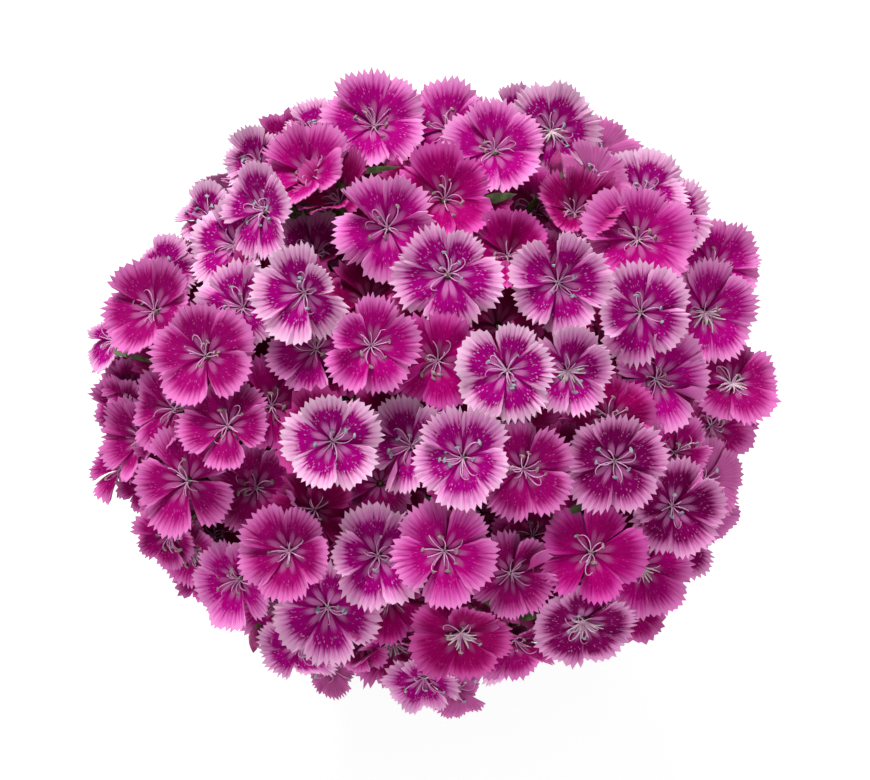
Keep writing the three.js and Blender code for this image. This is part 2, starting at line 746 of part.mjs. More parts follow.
// Leafy stems, each clear of the heads, of the other stems and of the leaves before it
function stemSolids(hubs, fats, heads) {
  const curves = hubs.map(stemCurve);
  const blockers = [...fats, ...heads.map((solid) => ({ solid, box: boxAround(solid) }))];
  const fatStems = hubs.map((hub, index) => {
    const solid = stemSolid(hub, curves[index], FIT_GAP);
    return { solid, box: boxAround(solid) };
  });
  return hubs.map((hub, index) => {
    const inTheWay = [...blockers, ...fatStems.filter((stem, k) => k !== index)];
    const leaves = leavesOf(hub, curves[index], index);
    const blades = leaves.map((leaf) => cutClear(leafSolid(leaf, 0), inTheWay));
    for (const leaf of leaves) {
      const solid = leafSolid(leaf, FIT_GAP);
      blockers.push({ solid, box: boxAround(solid) });
    }
    return wholePiece(wasm.Manifold.union([stemSolid(hub, curves[index], 0), ...blades]));
  });
}

// Round body from a profile of [radius, height] pairs that starts and ends on the axis
function turned(profile, sides) {
  const outline = profile.map(([r, z]) => new THREE.Vector2(r, z));
  return solidFromGeometry(new THREE.LatheGeometry(outline, sides).rotateX(Math.PI / 2));
}

// The pot wall's outside radius at a height, below the rim band
function outerAt(z) {
  return POT_BASE_RADIUS + ((POT_RIM_RADIUS - POT_RIM_STEP - POT_BASE_RADIUS) * z) / POT_HEIGHT;
}

function potSolid() {
  const bandFoot = POT_HEIGHT - POT_RIM_BAND;
  const pot = turned([
    [0, 0],
    [POT_BASE_RADIUS, 0],
    [outerAt(bandFoot), bandFoot],
    [outerAt(bandFoot) + POT_RIM_STEP, bandFoot],
    [POT_RIM_RADIUS, POT_HEIGHT],
    [POT_RIM_RADIUS - POT_WALL, POT_HEIGHT],
    [outerAt(POT_FLOOR) - POT_WALL, POT_FLOOR],
    [0, POT_FLOOR],
  ], POT_SIDES);
  const holes = [];
  for (let k = 0; k < DRAIN_HOLES; k += 1) {
    const turn = (2 * Math.PI * k) / DRAIN_HOLES;
    const hole = new THREE.CylinderGeometry(DRAIN_RADIUS, DRAIN_RADIUS, POT_FLOOR * 3, DRAIN_SIDES);
    hole.rotateX(Math.PI / 2);
    hole.translate(DRAIN_RING_RADIUS * Math.cos(turn), DRAIN_RING_RADIUS * Math.sin(turn), 0);
    holes.push(solidFromGeometry(hole));
  }
  return pot.subtract(wasm.Manifold.union(holes));
}

// Potting soil, low in the pot by a finger's breadth, with a plain hole for each stem
function soilSolid(hubs) {
  const wallAt = (z) => outerAt(z) - POT_WALL - SOIL_WALL_GAP;
  const edge = POT_HEIGHT - SOIL_BELOW_RIM;
  const foot = POT_FLOOR + FIT_GAP;
  const soil = turned([[0, foot], [wallAt(foot), foot], [wallAt(edge), edge], [0, SOIL_TOP]], SOIL_SIDES);
  const holes = hubs.map((hub) => stemSolid(hub, stemCurve(hub), FIT_GAP).translate([0, 0, -FIT_GAP]));
  return soil.subtract(wasm.Manifold.union(holes));
}

function meshOf(name, solid, colour, roughness) {
  const { vertProperties, triVerts } = solid.getMesh();
  const geometry = new THREE.BufferGeometry();
  geometry.setAttribute("position", new THREE.BufferAttribute(new Float32Array(vertProperties), 3));
  geometry.setIndex(new THREE.BufferAttribute(new Uint32Array(triVerts), 1));
  geometry.computeVertexNormals();
  const mesh = new THREE.Mesh(geometry, new THREE.MeshStandardMaterial({ color: colour, roughness }));
  mesh.name = name;
  return mesh;
}

const hubs = headHubs();
const florets = laidOutFlorets();
shareOut(florets, hubs);
const fats = fatFlorets(florets, hubs);
const heads = hubs.map((hub, head) => headSolid(hub, head, florets, fats));
const stems = stemSolids(hubs, fats, heads);

const plant = new THREE.Group();
plant.add(meshOf("pot", potSolid(), POT_COLOUR, 0.7));
plant.add(meshOf("soil", soilSolid(hubs), SOIL_COLOUR, 0.95));
const numbered = (k) => String(k + 1).padStart(2, "0");
stems.forEach((solid, k) => plant.add(meshOf(`leafy_stem_${numbered(k)}`, solid, LEAF_COLOUR, 0.6)));
heads.forEach((solid, k) => plant.add(meshOf(`flower_head_${numbered(k)}`, solid, PETAL_COLOUR, 0.65)));

export default plant;
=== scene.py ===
# A dianthus in full flower in a plain nursery pot: fringed petals with a feathered dark ring,
# stamens, calyces, leafy stems, soil and pot. The florets are laid out in millimetres by the rule
# that their solids follow, and every finished mesh is in metres, +Z up.
import math

import bpy
import numpy as np
from mathutils import Matrix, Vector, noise


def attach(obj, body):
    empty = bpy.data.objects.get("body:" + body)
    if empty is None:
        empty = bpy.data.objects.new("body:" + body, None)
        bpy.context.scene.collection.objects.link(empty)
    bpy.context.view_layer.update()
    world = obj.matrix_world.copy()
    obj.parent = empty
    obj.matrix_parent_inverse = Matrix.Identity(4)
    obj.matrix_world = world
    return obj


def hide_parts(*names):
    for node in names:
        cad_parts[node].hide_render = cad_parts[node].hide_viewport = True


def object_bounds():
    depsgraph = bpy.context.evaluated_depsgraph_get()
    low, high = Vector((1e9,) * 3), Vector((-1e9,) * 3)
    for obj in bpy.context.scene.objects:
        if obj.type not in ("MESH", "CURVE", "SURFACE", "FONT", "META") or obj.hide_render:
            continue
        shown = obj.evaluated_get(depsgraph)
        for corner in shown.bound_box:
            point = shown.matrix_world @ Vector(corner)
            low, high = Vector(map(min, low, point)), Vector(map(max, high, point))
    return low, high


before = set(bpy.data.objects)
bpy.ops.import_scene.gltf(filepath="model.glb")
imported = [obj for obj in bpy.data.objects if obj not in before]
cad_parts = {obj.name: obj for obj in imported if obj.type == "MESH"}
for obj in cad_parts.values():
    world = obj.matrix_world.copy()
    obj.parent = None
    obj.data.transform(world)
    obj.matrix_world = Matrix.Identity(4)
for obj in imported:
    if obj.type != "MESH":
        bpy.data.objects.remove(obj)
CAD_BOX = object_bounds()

MM = 0.001
MASK = 0xFFFFFFFF

# ---------------------------------------------------------------- sizes shared with the solids, mm

POT_RIM_RADIUS = 58.0
POT_BASE_RADIUS = 40.0
POT_HEIGHT = 84.0
POT_WALL = 2.0
POT_FLOOR = 3.0
POT_RIM_BAND = 11.0
POT_RIM_STEP = 2.4
DRAIN_HOLES = 5
DRAIN_RADIUS = 5.0
DRAIN_RING_RADIUS = 26.0
SOIL_BELOW_RIM = 7.0
SOIL_DOME = 3.0
SOIL_TOP = POT_HEIGHT - SOIL_BELOW_RIM + SOIL_DOME
SOIL_WALL_GAP = 0.6
FIT_GAP = 0.3

DOME_CENTRE = np.array([-2.0, 0.0, 145.0])
DOME_RADII = np.array([96.0, 90.0, 75.0])
EYE_ELEVATION = math.radians(68)
EYE_DISTANCE = 950.0
LAYER_DEPTHS = (0.0, 3.5, 8.0)
SINK_STEP = 0.75
SINK_STEPS = 26
PETAL_CLEARANCE = 1.4
NEIGHBOUR_REACH = 4.0
BOWL_RINGS = ((0.5, 6), (0.98, 14))  # how far out a ring is, and its points

PETALS = 5
CUP_LEAST = 1.5
CUP_SPREAD = 4.0
FOLDED_SHARE = 0.12
FOLDED_DROOP = -3.0
DROOP_SPREAD = 2.4
REACH_LEAST = 0.93
REACH_SPREAD = 0.07
FLORET_RADIUS_SPREAD = 2.0
CALYX_LENGTH = 16.0
STALK_RADIUS = 1.1
HUB_DEPTH = 45.0
HUB_RADIUS = 4.0
STEM_RADIUS = 2.2
STEM_ROOT_DEPTH = 22.0
STEM_FOOT_HANDLE = 0.45
STEM_TOP_HANDLE = 0.35
HALVINGS = 24
LEAF_LENGTH = 52.0
LEAF_WIDTH = 15.0
LEAF_LIFT = 0.5
LEAF_DROP = 0.36
LEAF_FORESHORTENING = 0.08
LEAF_NARROWING = 0.15
LEAF_SWING = 1.2
LEAF_SCATTER = 0.12
LEAF_LENGTH_LEAST = 0.92
LEAF_LENGTH_SPREAD = 0.16
FRONT_LEAF_SHORTER = 0.38
INWARD_LEAF_SHARE = 0.3
LEAF_STEP = 5.5
INNER_LEAF_SHARE = 0.5
FLORET_SEED = 500
LEAF_SEED = 900

# Heads in rings: how many, how far from upright, first bearing, root's distance, leaf levels
HEAD_RINGS = (
    (1, 0, 0, 0, (140,)),
    (5, 42, 0, 17, (118,)),
    (8, 80, 28, 35, (88, 97, 106, 115)),
)

FILL_CANDIDATES = 190
FILL_SPACING_SEEN = 17.0
FILL_SPACING_BEHIND = 21.0
FILL_RADIUS_SEEN = 13.5
FILL_RADIUS_BEHIND = 15.0
FILL_LOWEST = -0.3
FILL_SEEN = 0.12
FILL_TUCK = 0.9
FILL_TUCK_ZONE = 0.4
FILL_LEAN = 0.35
FILL_LIFT = 0.3
FILL_SEED = 71
GOLDEN_ANGLE = math.pi * (3 - math.sqrt(5))

# One floret a row: its throat across and up the layout plane, its radius, how far it looks across
# and up (as parts of a unit direction), its layer, one petal's bearing, and its tint.
FLORETS = (
    (-50, 55.5, 15.5, -0.72, 0.02, 0, 90, "lilac"),
    (-17, 81, 15.8, -0.05, 0.3, 0, 108, "pink"),
    (19, 73.5, 16, 0.02, 0.3, 0, 92, "pink"),
    (36, 79.5, 16, 0.2, 0.1, 0, 60, "palest"),
    (-36, 66, 15.5, -0.35, 0.45, 0, 120, "rose"),
    (-13, 50.5, 16.5, -0.03, 0.05, 0, 55, "pink"),
    (5, 36.5, 16.5, 0.03, -0.05, 0, 270, "lilac"),
    (38, 34, 15.5, 0.05, -0.1, 0, 290, "lilac"),
    (62, 47, 17.5, 0.08, 0.32, 0, 10, "rose"),
    (63, 25, 16, 0.05, -0.1, 0, 325, "lilac"),
    (22.8, 7.5, 15.5, 0, -0.05, 0, 296, "palest"),
    (-18, 15, 16, 0, 0, 0, 222, "rose"),
    (-38, 31, 15, -0.2, -0.15, 0, 250, "palest"),
    (9.5, -18.5, 15.5, -0.02, 0.05, 0, 265, "lilac"),
    (-29.5, -13.5, 15.5, -0.05, -0.05, 0, 100, "palest"),
    (27.6, -22, 15.5, 0, -0.1, 0, 320, "mauve"),
    (55, -19.5, 15.5, 0, -0.18, 0, 301, "purple"),
    (-67.5, 12, 16, -0.25, 0.15, 0, 175, "mauve"),
    (-61, -9, 15.5, -0.15, 0.3, 0, 125, "mauve"),
    (-73, -25.5, 17, -0.38, 0.1, 0, 180, "mauve"),
    (-42.5, -46.5, 15.5, -0.18, 0, 0, 200, "mauve"),
    (-16, -48, 16, 0, 0.05, 0, 105, "lilac"),
    (4, -46.5, 16, 0.05, -0.08, 0, 270, "rose"),
    (48, -47, 16, 0.05, -0.05, 0, 285, "hot"),
    (72.5, -33, 15.5, 0.12, -0.12, 0, 300, "purple"),
    (-31, -63.5, 16, -0.1, -0.2, 0, 350, "lilac"),
    (45.5, -67.5, 16, 0.1, -0.55, 0, 300, "purple"),
    (9, -71, 16, 0, -0.45, 0, 70, "crimson"),
    (-57.5, -55, 14.8, -0.4, -0.25, 0, 200, "pink"),
    (67.5, 5, 16, 0.18, -0.08, 1, 355, "pink"),
    (-83, 25.5, 17.5, -0.4, 0.4, 0, 108, "mauve"),
    (-80.5, 37, 12, -0.45, 0.35, 1, 60, "lilac"),
    (-77, -4, 14.5, -0.62, 0, 0, 170, "mauve"),
    (82, 25, 16.5, 0.35, 0, 1, 20, "pink"),
    (90, 3.5, 15.5, 0.25, 0.45, 0, 85, "mauve"),
    (84.5, 38.5, 15, 0.25, 0.35, 0, 30, "pink"),
    (-58.5, 45, 15.5, -0.6, 0.25, 1, 150, "palest"),
    (-51.5, 69.5, 11, -0.3, 0.2, 1, 100, "palest"),
    (-33, 78.5, 11.5, -0.2, 0.5, 1, 110, "palest"),
    (-66, 53, 10.5, -0.5, 0.4, 1, 150, "palest"),
    (-56.5, 26.5, 14, -0.3, 0.1, 1, 110, "lilac"),
    (-35, 42, 14.5, 0.05, 0.25, 1, 60, "lilac"),
    (4.8, 80, 16, 0.05, 0.3, 1, 85, "pink"),
    (63, 60.5, 15.5, 0.2, 0.3, 1, 60, "palest"),
    (72, 53.5, 13.5, 0.4, 0.3, 1, 40, "palest"),
    (4, 59, 16, 0, 0.25, 1, 100, "hot"),
    (43, 55, 14.5, 0.25, 0.45, 1, 80, "crimson"),
    (23, 42, 14, 0, 0.3, 1, 110, "hot"),
    (41, 7.5, 14, 0.1, -0.1, 1, 300, "lilac"),
    (53.5, -7, 14.5, 0.05, 0.2, 1, 100, "crimson"),
    (2, 10.5, 15, 0, 0, 1, 140, "hot"),
    (-34.5, 14, 14, -0.2, 0, 1, 190, "pink"),
    (-48, -3, 14.5, 0, 0.12, 1, 90, "hot"),
    (-6, -15, 15, -0.3, 0, 1, 180, "lilac"),
    (-52.5, -27.5, 15, -0.05, 0.05, 1, 175, "mauve"),
    (-86, -13, 14.5, -0.74, 0, 1, 200, "mauve"),
    (-92, -21.5, 12, -0.7, 0.3, 1, 160, "mauve"),
    (-95, 16.5, 12.5, -0.6, 0.3, 1, 200, "lilac"),
    (-90, -4.5, 12.5, -0.6, -0.3, 1, 270, "mauve"),
    (-77.5, -41, 10.5, -0.5, -0.3, 1, 280, "mauve"),
    (-71, -46, 12.3, -0.45, -0.35, 1, 240, "rose"),
    (-12.5, -61, 14, 0, -0.28, 1, 270, "hot"),
    (24, -53, 14.5, 0.12, -0.15, 1, 330, "mauve"),
    (62.5, -51, 15, 0.35, -0.2, 1, 300, "rose"),
    (25, -73, 13.5, 0.1, -0.8, 1, 200, "mauve"),
    (-11.5, -73.5, 14, 0.05, -0.82, 1, 190, "mauve"),
    (-2, -84.5, 12.5, -0.2, -0.6, 1, 230, "lilac"),
    (7.5, -87.5, 9, 0.45, -0.4, 1, 290, "plain"),
    (-39, -74.5, 13, -0.35, -0.6, 1, 220, "lilac"),
    (-30.5, -81.5, 8.5, 0.5, -0.3, 1, 270, "plain"),
    (84, -9, 14, 0.4, -0.3, 2, 250, "mauve"),
    (82, -25, 13, 0.5, -0.1, 2, 20, "plain"),
    (80, -35, 12.5, 0.4, -0.3, 2, 340, "plain"),
    (73, -44.5, 12.5, 0.35, -0.4, 2, 310, "purple"),
    (73, -17, 11.5, 0.35, -0.1, 2, 60, "rose"),
    (51, -40, 13.5, 0.05, 0.3, 2, 80, "mauve"),
    (30.5, -42, 13, 0, 0.1, 2, 40, "hot"),
    (25, -9, 13.5, 0, 0.2, 2, 250, "dark"),
    (-35, -34, 13.5, -0.1, 0, 2, 120, "dark"),
    (-65, -42, 13.5, -0.25, 0, 2, 160, "dark"),
    (-46, -62, 14, -0.3, -0.3, 2, 220, "pink"),
    (-86, 7, 13.5, -0.72, 0.25, 2, 150, "mauve"),
    (-72, 35, 14, -0.55, 0.3, 2, 90, "pink"),
    (-40, 53, 13.5, -0.12, 0.15, 2, 240, "dark"),
    (25, 81.5, 11, 0.1, 0.4, 2, 90, "lilac"),
    (49.5, 72.5, 14.5, 0.25, 0.35, 2, 60, "plain"),
    (48, 65, 13.5, 0.3, 0.6, 2, 20, "plain"),
    (31, 55, 14.5, 0.1, 0.3, 2, 150, "hot"),
)

# Leaf tips that show between the florets: where their middle is across and up, the way they point
# on the layout plane in degrees, their length and their width.
SPRIGS = (
    (-43.5, 64, -32, 12.8, 3.4), (-25, 67.5, 60, 8.5, 3.7), (-16, 68, 5, 12.8, 2), (-36, 56.5, -20, 8.5, 2),
    (-27, 63, -45, 6.8, 1.7), (26, 71, -60, 7.6, 2.4), (20, 59.5, 10, 11, 3.1), (37, 64, 45, 8.5, 3.1),
    (47, 65.5, 80, 6.8, 2.4), (56, -59, -70, 11.9, 2.4), (17, -68, -45, 11, 3.4), (29, -66, 0, 6.8, 3.1),
    (-84, 23, 20, 7.6, 1.7), (-86, 11, -15, 10.2, 1.4), (-68, -35, 200, 7.6, 2.7), (45, -33, 30, 7.6, 2.7),
    (40, -20, 150, 7.6, 2.4), (-26, -70, -80, 10.2, 2.7), (-45, -62, 230, 7.6, 2.4), (72, 45, 60, 7.6, 2),
)

# Florets whose petals stand up and half close them: the floret's number, counted from nought in
# FLORETS and on through those that fill the dome, and how far the tips rise or, below nought, sink.
CUPPED = {
    2: 2.5, 4: 6.5, 18: 5.0, 20: 3.0, 28: 3.0, 30: 5.0, 35: 3.5, 36: 3.0, 45: 3.5, 46: 6.0, 47: 4.0,
    48: 3.0, 49: -1.5, 50: -2.0, 53: 1.0, 54: 5.0, 55: 3.5, 57: 4.0, 61: 5.0, 62: 4.5, 63: 3.0,
    65: 3.5, 77: -1.5, 88: 6.0,
}

# Closed buds: where the calyx mouth is across and up, and the way they point
BUDS = (
    (21, -63.5, -40), (87.5, 36, -20), (-52, -70, -100), (37.5, 67, 85), (93, -3, 10), (-64, -15, 250),
)

# What each tint is made of, as 0-255 screen colours: the dark zone, the pale band, the very rim;
# then how far out the zone reaches, how strong the pale star is and whether the anthers are tan
TINTS = {
    "rose": ((178, 2, 122), (204, 74, 165), (228, 130, 199), 0.68, 0.5, True),
    "pink": ((176, 2, 128), (215, 98, 183), (235, 152, 211), 0.69, 0.65, True),
    "hot": ((172, 0, 110), (197, 40, 145), (217, 92, 179), 0.72, 0.35, True),
    "crimson": ((152, 0, 90), (182, 38, 128), (204, 86, 162), 0.74, 0.3, True),
    "lilac": ((164, 0, 122), (218, 124, 193), (238, 182, 220), 0.69, 0.85, False),
    "palest": ((166, 0, 124), (227, 150, 204), (241, 196, 227), 0.68, 0.9, False),
    "purple": ((126, 0, 86), (196, 94, 163), (226, 158, 206), 0.71, 0.7, False),
    "mauve": ((156, 4, 104), (192, 70, 151), (215, 120, 187), 0.71, 0.5, True),
    # dark: a deep tint for florets sunk in the gaps, partly their own deep colour and partly painted shade
    # where the gaps lie in shade
    "dark": ((132, 0, 74), (162, 24, 108), (186, 64, 140), 0.76, 0.2, True),
    "plain": ((172, 66, 134), (190, 92, 158), (208, 122, 180), 0.40, 0.3, False),
}
FILL_TINTS = ("crimson", "mauve", "pink", "lilac", "hot", "rose", "purple", "dark")


def seeded(seed):
    """A small random source that gives the same draws as the one the solids use."""
    state = seed & MASK

    def draw():
        nonlocal state
        state = (state + 0x6D2B79F5) & MASK
        t = state
        t = ((t ^ (t >> 15)) * (t | 1)) & MASK
        t = (t ^ (t + ((t ^ (t >> 7)) * (t | 61)))) & MASK
        return (t ^ (t >> 14)) / 4294967296

    return draw


def unit(vector):
    return vector / np.linalg.norm(vector)


def level_way(bearing):
    """A level direction with this bearing."""
    return np.array([math.cos(bearing), math.sin(bearing), 0.0])


# The layout plane stands square to the eye: RIGHT and UP lie in it, and TOWARD leaves it for the eye.
RIGHT = np.array([1.0, 0.0, 0.0])
UP = np.array([0.0, math.sin(EYE_ELEVATION), math.cos(EYE_ELEVATION)])
TOWARD = np.array([0.0, -math.cos(EYE_ELEVATION), math.sin(EYE_ELEVATION)])
EYE = DOME_CENTRE + TOWARD * EYE_DISTANCE
UPRIGHT = np.array([0.0, 0.0, 1.0])


# ---------------------------------------------------------------- camera and light

VIEW_WIDTH = 261.0  # what the frame takes in across, at the dome's centre
AIM_RIGHT = 3.2
AIM_UP = 1.8
SENSOR_WIDTH = 36.0
NEAREST_SEEN, FARTHEST_SEEN = 50.0, 20000.0

# Name, place and width in millimetres, and power in watts
LIGHTS = (
    ("key", (-240, 800, 1200), 500, 17.0),
    ("fill_right", (750, -850, 800), 1000, 4.7),
    ("fill_left", (-850, -700, 750), 1000, 2.4),
)
LIGHT_UPWARD = (0.0, 1.0, 0.3)

WALL_GLOW, CEILING_GLOW = 0.72, 0.265
DIMMING_STARTS, DIMMING_ENDS = 0.1, 0.7  # how far up the world's sphere


def added(name, data):
    """A new object in the scene that shows this data."""
    made = bpy.data.objects.new(name, data)
    bpy.context.scene.collection.objects.link(made)
    return made


def aim(thing, place, target, upward):
    """Puts a camera or a light in its place and turns it towards its target."""
    back = unit(place - target)
    right = unit(np.cross(upward, back))
    matrix = np.eye(4)
    matrix[:3] = np.column_stack((right, np.cross(back, right), back, place * MM))
    thing.matrix_world = Matrix(matrix.tolist())


def make_camera():
    data = bpy.data.cameras.new("camera")
    data.sensor_width = SENSOR_WIDTH
    data.lens = SENSOR_WIDTH * EYE_DISTANCE / VIEW_WIDTH
    data.clip_start = NEAREST_SEEN * MM
    data.clip_end = FARTHEST_SEEN * MM
    camera = added("camera", data)
    aim(camera, EYE, DOME_CENTRE + RIGHT * AIM_RIGHT + UP * AIM_UP, UP)
    bpy.context.scene.camera = camera


def area_light(name, place, width, power):
    data = bpy.data.lights.new(name, "AREA")
    data.size = width * MM
    data.energy = power
    aim(added(name, data), np.array(place), DOME_CENTRE, LIGHT_UPWARD)


def studio_world():
    """White walls all round that dim towards the ceiling."""
    world = bpy.data.worlds.new("studio")
    world.use_nodes = True
    tree = world.node_tree
    where = tree.nodes.new("ShaderNodeTexCoord")
    parts = tree.nodes.new("ShaderNodeSeparateXYZ")
    dimming = tree.nodes.new("ShaderNodeMapRange")
    dimming.interpolation_type = "SMOOTHSTEP"
    dimming.inputs["From Min"].default_value = DIMMING_STARTS
    dimming.inputs["From Max"].default_value = DIMMING_ENDS
    dimming.inputs["To Min"].default_value = WALL_GLOW
    dimming.inputs["To Max"].default_value = CEILING_GLOW
    tree.links.new(where.outputs["Generated"], parts.inputs[0])
    tree.links.new(parts.outputs[2], dimming.inputs[0])
    tree.links.new(dimming.outputs[0], tree.nodes["Background"].inputs["Strength"])
    tree.nodes["Background"].inputs["Color"].default_value = (1.0, 1.0, 1.0, 1)
    bpy.context.scene.world = world


make_camera()
bpy.context.scene.view_settings.view_transform = "Standard"
for light in LIGHTS:
    area_light(*light)
studio_world()


# ---------------------------------------------------------------- laying out the florets

FIRST_INNER = 400  # inner florets are numbered from here
DEEPEST_LAYER = len(LAYER_DEPTHS) - 1


class Floret:
    """One flower: where its throat is, which way it looks, its size and what is its own."""

    def __init__(self, index, place, normal, radius, layer, spin, tint):
        draw = seeded(FLORET_SEED + index)
        self.index = index
        self.place = place
        self.normal = normal
        self.radius = radius
        self.layer = layer
        self.tint = tint
        self.inner = index >= FIRST_INNER
        self.cup = CUP_LEAST + CUP_SPREAD * draw()
        self.droops = []
        self.reaches = []
        for _ in range(PETALS):
            self.droops.append(FOLDED_DROOP if draw() < FOLDED_SHARE else DROOP_SPREAD * (draw() - 0.5))
            self.reaches.append(REACH_LEAST + REACH_SPREAD * draw())
        right = unit(RIGHT - normal * RIGHT.dot(normal))
        up = np.cross(normal, right)
        turn = math.radians(spin)
        self.east = right * math.cos(turn) + up * math.sin(turn)
        self.north = np.cross(normal, self.east)

    def at(self, x, y, z):
        """A point from its distances east, north and out of the face, any of them arrays."""
        x, y, z = (np.asarray(v, float)[..., None] for v in (x, y, z))
        return self.place + x * self.east + y * self.north + z * self.normal

    def around(self, out, bearing, rise):
        """Points from their distances from the throat, their bearings and their rises."""
        return self.at(out * np.cos(bearing), out * np.sin(bearing), rise)

    def spread(self, bearing, rise=0.0):
        """The direction along the face with this bearing, one millimetre long, and out of it."""
        return self.east * math.cos(bearing) + self.north * math.sin(bearing) + self.normal * rise


def bowl_pattern():
    """The places across and up a bowl one unit in radius where clearance is tested."""
    rows = [(0.0, 0.0, 0.0)]
    for share, count in BOWL_RINGS:
        for k in range(count):
            angle = 2 * math.pi * k / count
            rows.append((math.cos(angle) * share, math.sin(angle) * share, share))
    return np.array(rows).T


BOWL = bowl_pattern()


def bowl_points(floret):
    x, y, share = BOWL
    return floret.at(x * floret.radius, y * floret.radius, share * floret.cup)


def touches(points, other):
    """How many points are on the wrong side of, or too near, another floret's bowl."""
    offset = points - other.place
    height = offset @ other.normal
    out = np.sqrt(np.maximum((offset * offset).sum(axis=1) - height * height, 0)) / other.radius
    over = (height - other.cup * out)[out < 1]
    near = np.abs(over) < PETAL_CLEARANCE
    above = (~near & (over > 0)).sum()
    below = (~near & (over <= 0)).sum()
    return near.sum() + min(above, below)


def settle(floret, settled):
    """Sinks a floret away from the eye until its petals lie clear of those placed before it."""
    away = unit(floret.place - EYE)
    start = floret.place + away * LAYER_DEPTHS[floret.layer]
    best = None
    for k in range(SINK_STEPS):
        floret.place = start + away * (k * SINK_STEP)
        points = bowl_points(floret)
        count = 0
        for other in settled:
            gap = np.linalg.norm(other.place - floret.place)
            if gap < other.radius + floret.radius + NEIGHBOUR_REACH:
                count += touches(points, other) + touches(other.points, floret)
        if best is None or count < best[0]:
            best = (count, floret.place, points)
        if count == 0:
            break
    floret.place, floret.points = best[1], best[2]
    settled.append(floret)


def onto_dome(across, up):
    """The nearest place on the dome that lies behind a point of the layout plane."""
    ray = unit(DOME_CENTRE + RIGHT * (across - DOME_CENTRE[0]) + UP * up - EYE)
    start = (EYE - DOME_CENTRE) / DOME_RADII
    step = ray / DOME_RADII
    a, b, c = step @ step, start @ step, start @ start - 1
    inside = b * b - a * c
    point = start + step * ((-b - math.sqrt(max(inside, 0))) / a)
    if inside < 0:
        point = unit(point)
    return point * DOME_RADII + DOME_CENTRE


def spiral_way(k, count, start=0.0):
    """The k-th of so many directions that wind down evenly from the dome's top."""
    height = 1 - (1 - FILL_LOWEST) * (k + 0.5) / count
    level = math.sqrt(1 - height * height)
    bearing = k * GOLDEN_ANGLE + start
    return np.array([level * math.cos(bearing), level * math.sin(bearing), height])


def tuck_at(facing):
    """How far the dome is drawn in where it turns from the eye."""
    return FILL_TUCK if abs(facing) < FILL_TUCK_ZONE else 1.0


def laid_out_florets():
    """The florets of FLORETS in their places, and more that fill the dome round them."""
    florets = []
    for across, up, radius, face_across, face_up, layer, spin, tint in FLORETS:
        toward = math.sqrt(1 - face_across**2 - face_up**2)
        normal = unit(RIGHT * face_across + UP * face_up + TOWARD * toward)
        place = onto_dome(across, up)
        settle(Floret(len(florets), place, normal, radius, layer, spin, tint), florets)
    draw = seeded(FILL_SEED)
    for k in range(FILL_CANDIDATES):
        way = spiral_way(k, FILL_CANDIDATES)
        normal = unit(way / DOME_RADII)
        facing = normal @ TOWARD
        place = way * DOME_RADII * tuck_at(facing) + DOME_CENTRE
        seen = facing > FILL_SEEN
        spacing = FILL_SPACING_SEEN if seen else FILL_SPACING_BEHIND
        lean, lift, size, spin = draw(), draw(), draw(), draw()
        if all(np.linalg.norm(other.place - place) > spacing for other in florets):
            normal = unit(normal + np.array([FILL_LEAN * (lean - 0.5), 0, FILL_LIFT * lift]))
            radius = (FILL_RADIUS_SEEN if seen else FILL_RADIUS_BEHIND) + FLORET_RADIUS_SPREAD * size
            index = len(florets)
            tint = FILL_TINTS[index % len(FILL_TINTS)]
            layer = DEEPEST_LAYER if seen else 0
            settle(Floret(index, place, normal, radius, layer, 360 * spin, tint), florets)
    return florets


# Where a petal shows behind the outer florets: across, up, how deep and its radius
PATCHES = (
    (-80.4, -31.2, 9, 10), (-70.5, -55.5, 9, 10), (-88.5, -27.5, 9, 8), (-46, 79, 9, 9),
    (62, -65.4, 9, 10), (-92, 3, 10, 9), (-3.6, 87, 7, 8), (92.5, -8.5, 7, 8),
    (-15.9, -27.6, 15, 11), (-82.8, -18.6, 9, 9), (37.2, 40.2, 16, 11), (-21, -77, 9, 9),
)
PATCH_SUNK = 2.0
PATCH_FACING = 1.5  # how much more it looks at the eye than outward
INNER_SPACING = 15.0
INNER_CANDIDATES = 420
INNER_DEPTHS = (13.0, 20.0)
INNER_RADIUS = 12.5
INNER_START = 1.0  # the first one's bearing, in radians
INNER_LEAN = 0.004
INNER_LIFT = 0.002
INNER_SEED = 77
CALYX_CLEARANCE = 5.0
FACE_BEHIND, FACE_BEFORE, FACE_BESIDE = -1.5, 16.0, 2.0  # the room kept free round an open face


def hides(place, other):
    """Whether a floret there would stand in front of another's face."""
    offset = place - other.place
    height = offset @ other.normal
    aside = math.sqrt(max(offset @ offset - height * height, 0))
    return FACE_BEHIND < height < FACE_BEFORE and aside < other.radius + FACE_BESIDE


def has_room(place, settled, inner):
    """Whether a smaller floret there is clear of the calyces, its own kind and the open faces."""
    if any(np.linalg.norm(other.place - other.normal * CALYX_LENGTH / 2 - place) < CALYX_CLEARANCE
           for other in settled):
        return False
    if any(np.linalg.norm(other.place - place) < INNER_SPACING for other in inner):
        return False
    return not any(hides(place, other) for other in settled)


